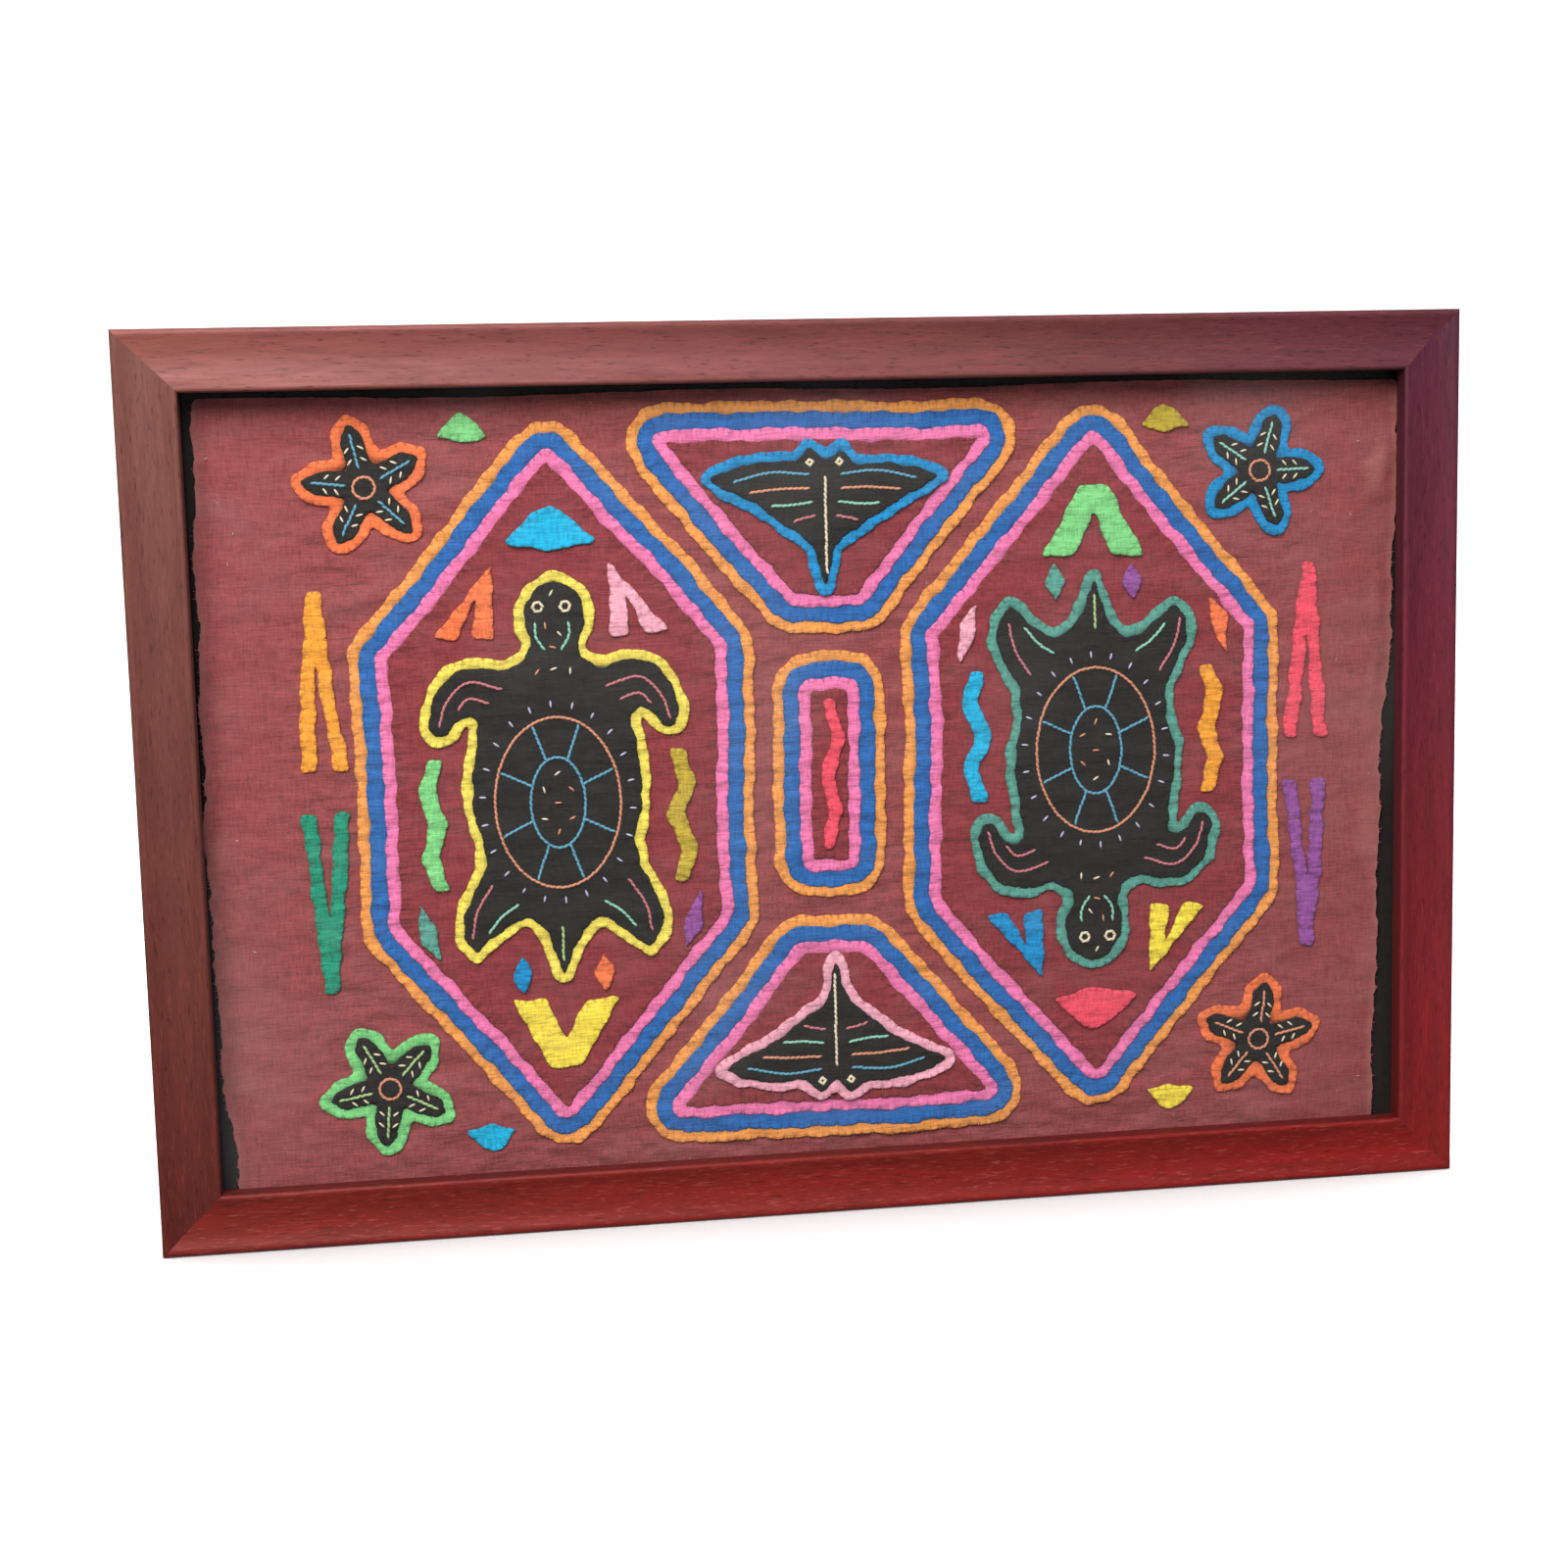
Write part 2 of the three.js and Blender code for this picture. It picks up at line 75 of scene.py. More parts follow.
# Rail section, as far as the rails' boxes don't give it
ARRIS = 2 * MM
CREST_DROP = 1 * MM
LIP_ROUND = 1.5 * MM
SCOOP_DEPTH = 4 * MM
RABBET_WIDTH = 7 * MM
RABBET_DEPTH = 14 * MM
MITRE_GAP = 0.3 * MM
# Painted shade on the rails' inner sight faces: how much darker they get
SIGHT_PAINTED_SHADE = 0.55
BACK_CHAMFER = 0.35 * MM
RABBET_CHAMFER = 0.3 * MM
ROUND_STEPS = 7
SCOOP_STEPS = 18
RAIL_STEP = 10 * MM
RAIL_CREASE = math.radians(34)

# The rails: the axis each runs along (x is 0, z is 2), the side its outer edge faces, where its grain is
# cut from the log, its colour at its two ends (the stain with painted light on it: a pale sheen where the
# lamp falls, a cool purple tint where the side light falls) and how pale its flecks are
RAILS = (
    {"node": "top_rail", "along": 0, "sign": 1, "shift": (0.3, 0.1, 0.7),
     "lit_end_tones": ((142, 80, 71), (92, 38, 46)), "paleness": 0.12},
    {"node": "bottom_rail", "along": 0, "sign": -1, "shift": (5.1, 2.2, 3.9),
     "lit_end_tones": ((126, 34, 26), (136, 20, 16)), "paleness": 0.34},
    {"node": "left_rail", "along": 2, "sign": -1, "shift": (9.4, 4.0, 1.2),
     "lit_end_tones": ((88, 24, 16), (120, 72, 61)), "paleness": 0.12},
    {"node": "right_rail", "along": 2, "sign": 1, "shift": (2.6, 7.7, 6.3),
     "lit_end_tones": ((130, 22, 18), (86, 34, 54)), "paleness": 0.08},
)

# Sewn edges
EDGE_STEP = 0.62 * MM
EDGE_SOFTENING = 8
EDGE_WAVER = 0.21 * MM
WAVER_LENGTHS = (9 * MM, 14 * MM, 23 * MM, 37 * MM)
WAVER_ROOM = 0.25
NEIGHBOURS = 7 * MM
LOOP_REACH = 80
STITCH_PITCH = 3.4 * MM
STITCH_PULL = 0.3 * MM
STITCH_SINK = 0.3 * MM
# How dark the painted shade in each stitch dent gets
STITCH_SHADE = 0.85
STITCH_SHARE = 0.13
STITCH_DRIFT = 0.35
DRIFT_STITCHES = 9
FEWEST_STITCHES = 5
STITCH_INSET = 0.1 * MM
PRESSED = 0.2 * MM
FOOT = 0.45 * MM
TUCK = 2.4 * MM

# Turned edge, from its foot up and inwards: distance in, height from the top, stitch dent, painted rim
# shade
TURNED_EDGE = (
    (-0.05 * MM, -0.50 * MM, 1.0, 0.25),
    (0.08 * MM, -0.16 * MM, 1.0, 0.7),
    (0.40 * MM, 0.05 * MM, 1.0, 1.0),
    (1.10 * MM, 0.06 * MM, 0.7, 1.0),
)
CROWN = 0.06 * MM

# The rest of a band: share of its width, distance more, height from the top, stitch dent, painted rim shade
BAND_TOP = (
    (0.55, 0.0, 0.03 * MM, 0.15, 1.0),
    (1.0, -0.5 * MM, -0.04 * MM, 0.0, 0.75),
    (1.0, TUCK, -0.34 * MM, 0.0, 0.1),
)

# Dyes whose pieces are gathered further in: distance in and stitch dent
GATHERED = ("field_wine",)
GATHERS = ((2.2 * MM, 0.55), (3.6 * MM, 0.3))
FILL_STEP = 1.8 * MM
ROW_SHARE = 0.87
FILL_JITTER = 0.18
FILL_CLEARANCE = 0.6
WELD = 0.002 * MM
HOLE_SIDES = 12

# Ground cloth: its mesh, cut edges, hem behind the bottom rail, worn folds and calm side margins
GROUND_STEP = 1.9 * MM
GROUND_EDGE_STEP = 0.7 * GROUND_STEP
GROUND_CREASE = math.radians(50)
BOARD_SHARE = 0.3
FRAY_WIDTH = 3.0 * MM
SIDE_JAGS = 0.55 * MM
EDGE_JAGS = 0.16 * MM
LEVEL_JAG_SHARE = 0.3
HEM_REACH = 3 * MM
HIDDEN_HEM = 2.2 * MM
CREASE_START = 0.7 * MM
CREASE_RISE = 0.7 * MM
CREASE_WEAR = 0.8
WORN_LIFT = (0.20, 0.10, 0.085)
CALM_WIDTH = 42 * MM
CALM_FADE = 16 * MM
GROUND_RIPPLE = 1.5
CALM_RIPPLE = 0.8

# Threads
EDGE_THREAD = {"length": 1.1 * MM, "width": 0.30 * MM, "rise": 0.22 * MM}
LINE_THREAD = {"length": 3.0 * MM, "width": 1.15 * MM, "rise": 0.6 * MM}
LINE_PITCH = 2.0 * MM
LINE_LEAN = 0.16
LEAN_WAVER = 0.04
LINE_WAVER = 0.05 * MM
CURVE_STEPS = 24
DASH = {"length": 3.0 * MM, "width": 0.85 * MM, "rise": 0.5 * MM}
FRAYED_END = {"length": 2.2 * MM, "width": 0.2 * MM, "rise": 0.2 * MM}
FRAYED_COUNT = 300
FRAYED_REACH = (-0.6, 0.5)
FRAYED_LEAN = 0.7
FRAYED_SINK = 0.2 * MM
LINT = {"length": 1.6 * MM, "width": 0.3 * MM, "rise": 0.25 * MM}
LINT_COUNT = 10
LINT_RISE = 0.25 * MM
LINT_LEFT = (4, 24)
LINT_RIGHT = (6, 20)
LINT_LEFT_SHARE = 0.6
LINT_INSET = 20 * MM
THREAD_TAPER = 2.6
THREAD_TIP = 0.08
THREAD_BED = 0.25
THREAD_UNDERSIDE = -0.35
COARSE = {"sides": 4, "rings": 3}

# Cloth ripples: mostly level wrinkles, from the pull of the sewing
RIPPLE_HEIGHT = 0.09 * MM
RIPPLE_COUNT = 44
RIPPLE_LENGTHS = (4 * MM, 20 * MM)
RIPPLE_LIMIT = 0.5 * MM
RIPPLE_TURN = math.pi / 2
RIPPLE_TURN_SPREAD = 0.42
RIPPLE_GROWTH = 0.35

# Camera: where the lens stands from the middle of the frame's bottom front edge
FOCAL_PIXELS = 2473.5
PICTURE_PIXELS = 1600
SENSOR_WIDTH = 36
FRONT_EDGE_OUT = 20 * MM
CAMERA_PLACE = Vector((-0.1465, -0.8884, 0.2828))
CAMERA_AIM = Vector((0.1458, 0.9809, -0.1290))
CAMERA_UP = Vector((0.0431, 0.1239, 0.9914))

# Colours as eight-bit screen values
DYES = {
    "wine": (150, 68, 68),
    "field_wine": (142, 51, 55),
    "orange": (250, 160, 78),
    "blue": (38, 104, 176),
    "pink": (248, 124, 176),
    "black": (36, 32, 28),
    "yellow": (252, 226, 92),
    "teal": (92, 160, 142),
    "sky": (10, 142, 200),
    "rose": (253, 174, 190),
    "coral": (252, 122, 68),
    "turquoise": (14, 178, 220),
    "mustard": (200, 170, 52),
    "emerald": (28, 148, 114),
    "red": (248, 80, 100),
    "leaf": (130, 214, 130),
    "golden": (254, 224, 70),
    "amber": (254, 164, 50),
    "purple": (152, 80, 154),
}
FLECK = (178, 96, 82)
FRAYED = (196, 104, 108)
FLUFF = (236, 214, 206)
BARE_FIBRE = ((104, 74, 50), (128, 96, 68))
THREADS = {
    "mint": (150, 210, 190),
    "dusty_pink": (206, 122, 126),
    "steel": (104, 166, 190),
    "pale_green": (178, 208, 140),
    "salmon": (226, 150, 118),
    "cream": (245, 226, 192),
    "lavender": (202, 200, 222),
}


def linear(screen):
    """A screen colour as linear light."""
    shares = [c / 255 for c in screen]
    return [s / 12.92 if s < 0.04045 else ((s + 0.055) / 1.055) ** 2.4 for s in shares]


# Surface marks, as waves a metre along x, y and z
WARP_THREADS = (1500, 1500, 150)
WEFT_THREADS = (150, 1500, 1500)
LEVEL_WRINKLES = (70, 70, 420)
UPRIGHT_WRINKLES = (380, 380, 80)
DYE_PATCHES = (38, 38, 60)
LINT_SPECKS = (900, 900, 900)
YARN_TWIST = (2600, 2600, 2600)
BOARD_FIBRE = (900, 900, 520)
GLASS_DUST = (9, 9, 6)
FLOOR_CLOUDS = (3, 3, 3)

# Wood marks: waves a metre lengthwise and crosswise, detail and warp
GRAIN = (30, 300, 4.0, 0.6)
BROAD_FIGURE = (5, 30, 3.0, 0.8)
PORES = (170, 1300, 2.0, 0.4)

# Linear colours
# Painted shadow colour for the rails' inner sight faces
SIGHT_PAINTED_SHADOW = (0.012, 0.004, 0.004, 1)
SPECK_TONE = (0.62, 0.58, 0.54, 1)
BLACK_PAPER = ((0.006, 0.003, 0.0028), (0.015, 0.007, 0.0065))
CLEAR_TINT = (0.985, 0.992, 0.988, 1)
DUST_TONE = (0.8, 0.78, 0.76, 1)
FLOOR_TONES = ((0.80, 0.80, 0.80), (0.84, 0.84, 0.84))
ROOM_TONE = (0.97, 0.97, 1.0, 1)

# Glass: mirror seen straight on, what a slant adds and how fast, and the thickest dust
MIRROR_STRAIGHT = 0.005
MIRROR_SLANT = 0.5
MIRROR_POWER = 4.0
DUST_FILM = 0.016


class Shader:
    """A material's node tree, with short calls for the nodes used here."""

    def __init__(self, name):
        self.material = bpy.data.materials.new(name)
        self.material.use_nodes = True
        self.tree = self.material.node_tree
        self.surface = self.tree.nodes["Principled BSDF"]
        self.place = self.add("ShaderNodeTexCoord").outputs["Object"]

    def put(self, socket, value):
        if isinstance(value, bpy.types.NodeSocket):
            self.tree.links.new(value, socket)
        else:
            socket.default_value = value

    def attribute(self, name):
        """A value kept on the mesh's points, or nought where the mesh has none."""
        return self.add("ShaderNodeAttribute", attribute_name=name).outputs["Fac"]

    def add(self, kind, values=None, **settings):
        node = self.tree.nodes.new(kind)
        for key, value in settings.items():
            setattr(node, key, value)
        for key, value in (values or {}).items():
            self.put(node.inputs[key], value)
        return node

    def finish(self, **values):
        for key, value in values.items():
            self.put(self.surface.inputs[key.replace("_", " ")], value)
        return self.material

    def noise(self, stretch, detail=3.0, rough=0.55, warp=0.0, shift=(0, 0, 0)):
        """Grey noise with its own number of waves a metre along x, y and z."""
        mapping = {"Vector": self.place, "Scale": stretch, "Location": shift}
        values = {
            "Vector": self.add("ShaderNodeMapping", mapping).outputs[0],
            "Scale": 1.0,
            "Detail": detail,
            "Roughness": rough,
            "Distortion": warp,
        }
        return self.add("ShaderNodeTexNoise", values).outputs["Fac"]

    def math(self, operation, a, b=0.0, clamp=False):
        node = self.add("ShaderNodeMath", {0: a, 1: b}, operation=operation, use_clamp=clamp)
        return node.outputs[0]

    def span(self, value, low, high, to_low=0.0, to_high=1.0):
        values = {"Value": value, 1: low, 2: high, 3: to_low, 4: to_high}
        return self.add("ShaderNodeMapRange", values).outputs[0]

    def mix(self, factor, a, b, blend="MIX"):
        node = self.add("ShaderNodeMix", {0: factor, 6: a, 7: b}, data_type="RGBA", blend_type=blend)
        return node.outputs[2]

    def ramp(self, value, stops):
        node = self.add("ShaderNodeValToRGB", {0: value})
        marks = node.color_ramp.elements
        while len(marks) < len(stops):
            marks.new(0.5)
        for mark, (at, colour) in zip(marks, stops):
            mark.position = at
            mark.color = (*colour, 1)
        return node.outputs[0]

    def bump(self, height, strength, distance):
        values = {"Height": height, "Strength": strength, "Distance": distance}
        return self.add("ShaderNodeBump", values).outputs[0]


def shade(colour, times):
    return [min(1.0, c * times) for c in colour]


def cotton(name, screen, faded=0.25, lint=0.0, sheen=0.15):
    """Plain-woven cotton: slubs, level wrinkles with painted shade in their troughs, uneven dye, painted
    shade at the sewn rims, under tucks and in stitch dents, and pale frayed edges.
    """
    s = Shader(name)
    base = linear(screen)
    warp = s.noise(WARP_THREADS, 2.0, 0.6)
    weft = s.noise(WEFT_THREADS, 2.0, 0.6, shift=(3, 1, 7))
    weave = s.math("ADD", s.math("MULTIPLY", warp, 0.5), s.math("MULTIPLY", weft, 0.5))
    level = s.noise(LEVEL_WRINKLES, 4.0, 0.6, 0.9)
    upright = s.noise(UPRIGHT_WRINKLES, 3.0, 0.6, 0.9, shift=(5, 2, 1))
    wrinkle = s.math("ADD", s.math("MULTIPLY", level, 0.65), s.math("MULTIPLY", upright, 0.35))
    dye = s.ramp(weave, [(0.32, shade(base, 0.62)), (0.52, base), (0.72, shade(base, 1.24))])
    puckered = s.span(s.attribute("calm"), 0.0, 1.0, 1.0, 0.3)
    # Painted shade in the wrinkles' troughs, weaker on the calm margins
    painted_crease_shade = s.math("MULTIPLY", s.span(wrinkle, 0.34, 0.47, 0.5, 0.0), puckered)
    dye = s.mix(painted_crease_shade, dye, (*shade(base, 0.5), 1))
    mottle = s.noise(DYE_PATCHES, 2.0, 0.6, 0.4)
    pale = [0.72 * b + 0.10 for b in base]
    dye = s.mix(s.span(mottle, 0.45, 0.72, 0.0, faded), dye, (*pale, 1))
    # Painted shade along the sewn rims, under tucks and in stitch dents, read from the rim value
    dye = s.mix(s.span(s.attribute("rim"), 0.0, 1.0, 0.62, 0.0), dye, (*shade(base, 0.30), 1))
    worn = [0.8 * b + more for b, more in zip(base, WORN_LIFT)]
    dye = s.mix(s.span(s.attribute("fray"), 0.0, 1.0, 0.0, 0.7), dye, (*worn, 1))
    if lint:
        speck = s.span(s.noise(LINT_SPECKS, 1.0, 0.5, 1.5), 0.75, 0.81, 0.0, lint)
        dye = s.mix(speck, dye, SPECK_TONE)
    relief = s.math("ADD", s.math("MULTIPLY", weave, 0.3), s.math("MULTIPLY", wrinkle, puckered))
    return s.finish(
        Base_Color=dye,
        Roughness=s.span(weave, 0.3, 0.7, 0.96, 0.8),
        Normal=s.bump(relief, 0.9, 1.1 * MM),
        Sheen_Weight=sheen,
        Sheen_Roughness=0.5,
    )


def yarn(name, screen):
    """Embroidery cotton: fine twist along the strand and a soft gloss."""
    s = Shader(name)
    base = linear(screen)
    twist = s.noise(YARN_TWIST, 2.0, 0.5)
    dye = s.ramp(twist, [(0.3, shade(base, 0.62)), (0.7, shade(base, 1.12))])
    return s.finish(
        Base_Color=dye,
        Roughness=s.span(twist, 0.3, 0.7, 0.62, 0.5),
        Normal=s.bump(twist, 0.5, 0.1 * MM),
    )


def wood(name, along, ends, shift, lit_end_tones, paleness):
    """Stained mahogany: the colour drifts from end to end, and the drift is painted light (a pale sheen at
    one end, a cool tint at the other), over grain, dark pores and pale flecks, with painted shade on the
    sight face.
    """
    s = Shader(name)
    spot = s.add("ShaderNodeSeparateXYZ", {0: s.place}).outputs[along]
    first, last = ((*linear(tone), 1) for tone in lit_end_tones)
    # The drift from end to end is painted light over the stain: paler where the lamp's sheen falls, cooler
    # where the side light falls
    stain_with_painted_light = s.mix(s.span(spot, *ends), first, last)

    def streaks(lengthwise, crosswise, detail, warp):
        stretch = [crosswise] * 3
        stretch[along] = lengthwise
        return s.noise(stretch, detail, 0.6, warp, shift)

    grain = streaks(*GRAIN)
    broad = streaks(*BROAD_FIGURE)
    pores = streaks(*PORES)
    figure = s.span(broad, 0.36, 0.66, 1.03, 0.88)
    light = s.math("MULTIPLY", s.span(grain, 0.3, 0.7, 0.8, 1.18), figure)
    dark = s.span(pores, 0.58, 0.70, 1.0, 0.56)
    tone = s.mix(1.0, stain_with_painted_light, s.math("MULTIPLY", light, dark), "MULTIPLY")
    tone = s.mix(s.span(pores, 0.30, 0.42, paleness, 0.0), tone, (*linear(FLECK), 1))
    # Painted shade on the inner sight face, read from the rim value
    tone = s.mix(s.span(s.attribute("rim"), 0.0, 1.0, 1.0, 0.0), tone, SIGHT_PAINTED_SHADOW)
    height = s.math("SUBTRACT", s.math("MULTIPLY", grain, 0.25), s.span(pores, 0.58, 0.72, 0.0, 0.6))
    return s.finish(
        Base_Color=tone,
        Roughness=s.span(grain, 0.3, 0.7, 0.62, 0.46),
        Specular_IOR_Level=0.26,
        Normal=s.bump(height, 0.3, 0.2 * MM),
        Coat_Weight=0.03,
        Coat_Roughness=0.3,
    )


def clear_glass(name):
    """Picture glass: see-through, with a faint mirror that strengthens at a slant, and thin dust."""
    s = Shader(name)
    tilt = s.add("ShaderNodeLayerWeight", {"Blend": 0.5}).outputs["Facing"]
    slanted = s.math("MULTIPLY", s.math("POWER", tilt, MIRROR_POWER), MIRROR_SLANT)
    mirror = s.math("ADD", slanted, MIRROR_STRAIGHT)
    clear = s.add("ShaderNodeBsdfTransparent", {"Color": CLEAR_TINT})
    gloss = s.add("ShaderNodeBsdfGlossy", {"Color": (1, 1, 1, 1), "Roughness": 0.04})
    dust = s.add("ShaderNodeBsdfDiffuse", {"Color": DUST_TONE})
    pane = s.add("ShaderNodeMixShader", {0: mirror, 1: clear.outputs[0], 2: gloss.outputs[0]})
    film = s.span(s.noise(GLASS_DUST, 1.0, 0.6, 0.5), 0.52, 0.74, 0.0, DUST_FILM)
    dusty = s.add("ShaderNodeMixShader", {0: film, 1: pane.outputs[0], 2: dust.outputs[0]})
    end = s.tree.nodes["Material Output"]
    s.tree.links.new(dusty.outputs[0], end.inputs["Surface"])
    s.tree.nodes.remove(s.surface)
    return s.material


def faced_board(name):
    """A mount board: matt black paper in front, bare brown fibre behind."""
    s = Shader(name)
    fibre = s.noise(BOARD_FIBRE, 5.0, 0.65, 1.2)
    marks = (0.3, 0.7)
    black = s.ramp(fibre, list(zip(marks, BLACK_PAPER)))
    brown = s.ramp(fibre, list(zip(marks, map(linear, BARE_FIBRE))))
    normal = s.add("ShaderNodeNewGeometry").outputs["True Normal"]
    facing = s.add("ShaderNodeSeparateXYZ", {0: normal}).outputs["Y"]
    tone = s.mix(s.span(facing, 0.4, 0.6), black, brown)
    return s.finish(
        Base_Color=tone,
        Roughness=s.span(fibre, *marks, 0.95, 0.82),
        Normal=s.bump(fibre, 0.3, 0.2 * MM),
    )


def pale_ground(name):
    s = Shader(name)
    cloud = s.noise(FLOOR_CLOUDS, 2.0)
    tone = s.ramp(cloud, list(zip((0.3, 0.7), FLOOR_TONES)))
    return s.finish(Base_Color=tone, Roughness=0.9)


# Shapes on the face are arrays of (x, z) points, listed counter-clockwise as seen from the front.

def ripple_table():
    """Plane waves that wrinkle all the cloth alike, so that the layers stay on each other."""
    lengths = np.exp(RNG.uniform(*np.log(RIPPLE_LENGTHS), RIPPLE_COUNT))
    turns = RNG.normal(RIPPLE_TURN, RIPPLE_TURN_SPREAD, RIPPLE_COUNT)
    heights = RIPPLE_HEIGHT * (lengths / RIPPLE_LENGTHS[1]) ** RIPPLE_GROWTH
    return 2 * math.pi / lengths, turns, heights, RNG.uniform(0, 2 * math.pi, RIPPLE_COUNT)


RIPPLES = ripple_table()


def ripple(points):
    waves, turns, heights, starts = RIPPLES
    along = points[:, :1] * np.cos(turns) + points[:, 1:2] * np.sin(turns)
    total = (heights * np.sin(along * waves + starts)).sum(axis=1)
    return RIPPLE_LIMIT * np.tanh(total / RIPPLE_LIMIT)


def ripple_at(spot):
    return float(ripple(spot[None])[0])


def front_outlines(node, flat=True):
    """The closed lines around a node's front, the longest first; a band has an inner one too."""
    mesh = frame["nodes"][node].data
    front = min(v.co.y for v in mesh.vertices)
    spot = [(round(v.co.x, 6), round(v.co.z, 6)) for v in mesh.vertices]
    sides = set()
    for face in mesh.polygons:
        if face.normal.y > -0.5 or (flat and abs(face.center.y - front) > 0.05 * MM):
            continue
        ring = [spot[i] for i in face.vertices]
        for a, b in zip(ring, ring[1:] + ring[:1]):
            if (b, a) in sides:
                sides.remove((b, a))
            else:
                sides.add((a, b))
    after = dict(sorted(sides))
    loops = []
    while after:
        start, here = after.popitem()
        loop = [start]
        while here != start:
            loop.append(here)
            here = after.pop(here)
        loops.append(np.array(loop))
    return sorted(loops, key=length_around, reverse=True)


def length_around(points):
    return np.hypot(*(np.roll(points, -1, 0) - points).T).sum()


def area_of(points):
    after = np.roll(points, -1, 0)
    return 0.5 * (points[:, 0] * after[:, 1] - after[:, 0] * points[:, 1]).sum()


def respaced(points, step):
    closed = np.vstack([points, points[:1]])
    run = np.concatenate([[0], np.cumsum(np.hypot(*np.diff(closed, axis=0).T))])
    count = max(12, round(run[-1] / step))
    stops = np.arange(count) * run[-1] / count
    return np.column_stack([np.interp(stops, run, closed[:, k]) for k in (0, 1)])


def softened(points, rounds):
    for _ in range(rounds):
        points = 0.5 * points + 0.25 * (np.roll(points, 1, 0) + np.roll(points, -1, 0))
    return points


def inward(points):
    along = np.roll(points, -1, 0) - np.roll(points, 1, 0)
    normal = softened(np.column_stack([-along[:, 1], along[:, 0]]), 1)
    return normal / np.maximum(np.hypot(*normal.T), 1e-9)[:, None]


def inside(points, outline):
    """Which points lie inside the outline, by crossings."""
    x, z = points[:, 0], points[:, 1]
    odd = np.zeros(len(points), bool)
    for (ax, az), (bx, bz) in zip(outline, np.roll(outline, -1, 0)):
        if az == bz:
            continue
        crosses = ((az > z) != (bz > z)) & (x < ax + (z - az) * (bx - ax) / (bz - az))
        odd ^= crosses
    return odd


def clearance(points):
    """Each point's distance to the nearest other stretch of its own outline."""
    count = len(points)
    steps = np.abs(np.arange(count)[:, None] - np.arange(count))
    apart = np.minimum(steps, count - steps) * EDGE_STEP
    gaps = np.hypot(*(points[:, None] - points).transpose(2, 0, 1))
    return np.where(apart < NEIGHBOURS, np.inf, gaps).min(axis=1)


def cross(a, b):
    return a[..., 0] * b[..., 1] - a[..., 1] * b[..., 0]


def unlooped(ring):
    """The ring without the small loops that come at sharp tips: each is drawn in to its crossing."""
    ring = ring.copy()
    count = len(ring)
    for reach in range(min(LOOP_REACH, count // 3), 1, -1):
        a, b = ring, np.roll(ring, -1, 0)
        c, d = np.roll(ring, -reach, 0), np.roll(ring, -reach - 1, 0)
        apart = cross(b - a, d - c)
        apart = np.where(np.abs(apart) < 1e-16, 1e-16, apart)
        t, u = cross(c - a, d - c) / apart, cross(c - a, b - a) / apart
        for i in np.flatnonzero((t > 0) & (t < 1) & (u > 0) & (u < 1)):
            loop = [(i + k) % count for k in range(reach + 2)]
            middle = a[i] + t[i] * (b[i] - a[i])
            path = np.vstack([ring[loop[0]], middle, ring[loop[-1]]])
            shares = np.linspace(0, 2, len(loop))
            ring[loop] = np.column_stack([np.interp(shares, (0, 1, 2), path[:, k]) for k in (0, 1)])
    return ring


def hand_sewn(outline):
    """The outline with a hand's waver, drawn in at each stitch; also where the stitches are."""
    points = softened(respaced(outline, EDGE_STEP), EDGE_SOFTENING)
    points = respaced(points, EDGE_STEP)
    count = len(points)
    turn = np.arange(count) / count * 2 * math.pi
    around = length_around(points)
    waver = sum(np.sin(turn * round(around / w) + RNG.uniform(0, 6)) for w in WAVER_LENGTHS)
    stitches = max(FEWEST_STITCHES, round(around / STITCH_PITCH))
    drift = STITCH_DRIFT * np.sin(turn * max(1, stitches // DRIFT_STITCHES) + RNG.uniform(0, 6))
    share = (turn / (2 * math.pi) * stitches + drift) % 1.0
    dent = np.exp(-(((share - 0.5) / STITCH_SHARE) ** 2))
    room = WAVER_ROOM * clearance(points)
    shift = np.clip(EDGE_WAVER * waver + STITCH_PULL * dent, -room, room)
    points = points + inward(points) * shift[:, None]
    at = [i for i in range(count) if dent[i] > dent[i - 1] and dent[i] >= dent[(i + 1) % count]]
    return points, dent, at


def edge_rows(points, dent, rows):
    """Rings of points that follow the edge at each row's distance in, with each point's painted rim shade.
    """
    placed = []
    painted_rim_shades = []
    for distance, height, sink, rim in rows:
        normal = inward(softened(points, round((distance / EDGE_STEP) ** 2)))
        ring = unlooped(points + normal * distance)
        out = height + ripple(ring) - sink * STITCH_SINK * dent
        placed.append(np.column_stack([ring[:, 0], -out, ring[:, 1]]))
        painted_rim_shades.append(rim * (1 - STITCH_SHADE * sink * dent))
    return placed, np.concatenate(painted_rim_shades)


def ring_faces(count, rows, closed):
    faces = []
    for r in range(rows if closed else rows - 1):
        low, high = r * count, ((r + 1) % rows) * count
        for i in range(count):
            j = (i + 1) % count
            faces.append((low + i, low + j, high + j, high + i))
    return faces


def add_piece(name, points, faces, material, **shades):
    """A smooth object riding on the body; shades are values per point that the materials read."""
    mesh = bpy.data.meshes.new(name)
    mesh.from_pydata([tuple(p) for p in points], [], faces)
    for key, values in {"rim": np.ones(len(points)), **shades}.items():
        layer = mesh.attributes.new(key, "FLOAT", "POINT")
        layer.data.foreach_set("value", values.astype(np.float32))
    shape = bmesh.new()
    shape.from_mesh(mesh)
    bmesh.ops.remove_doubles(shape, verts=shape.verts, dist=WELD)
    bmesh.ops.holes_fill(shape, edges=shape.edges, sides=HOLE_SIDES)
    bmesh.ops.recalc_face_normals(shape, faces=shape.faces)
    for face in shape.faces:
        face.smooth = True
    shape.to_mesh(mesh)
    shape.free()
    mesh.materials.append(material)
    piece = bpy.data.objects.new(name, mesh)
    bpy.context.collection.objects.link(piece)
    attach(piece, "root")
    return piece


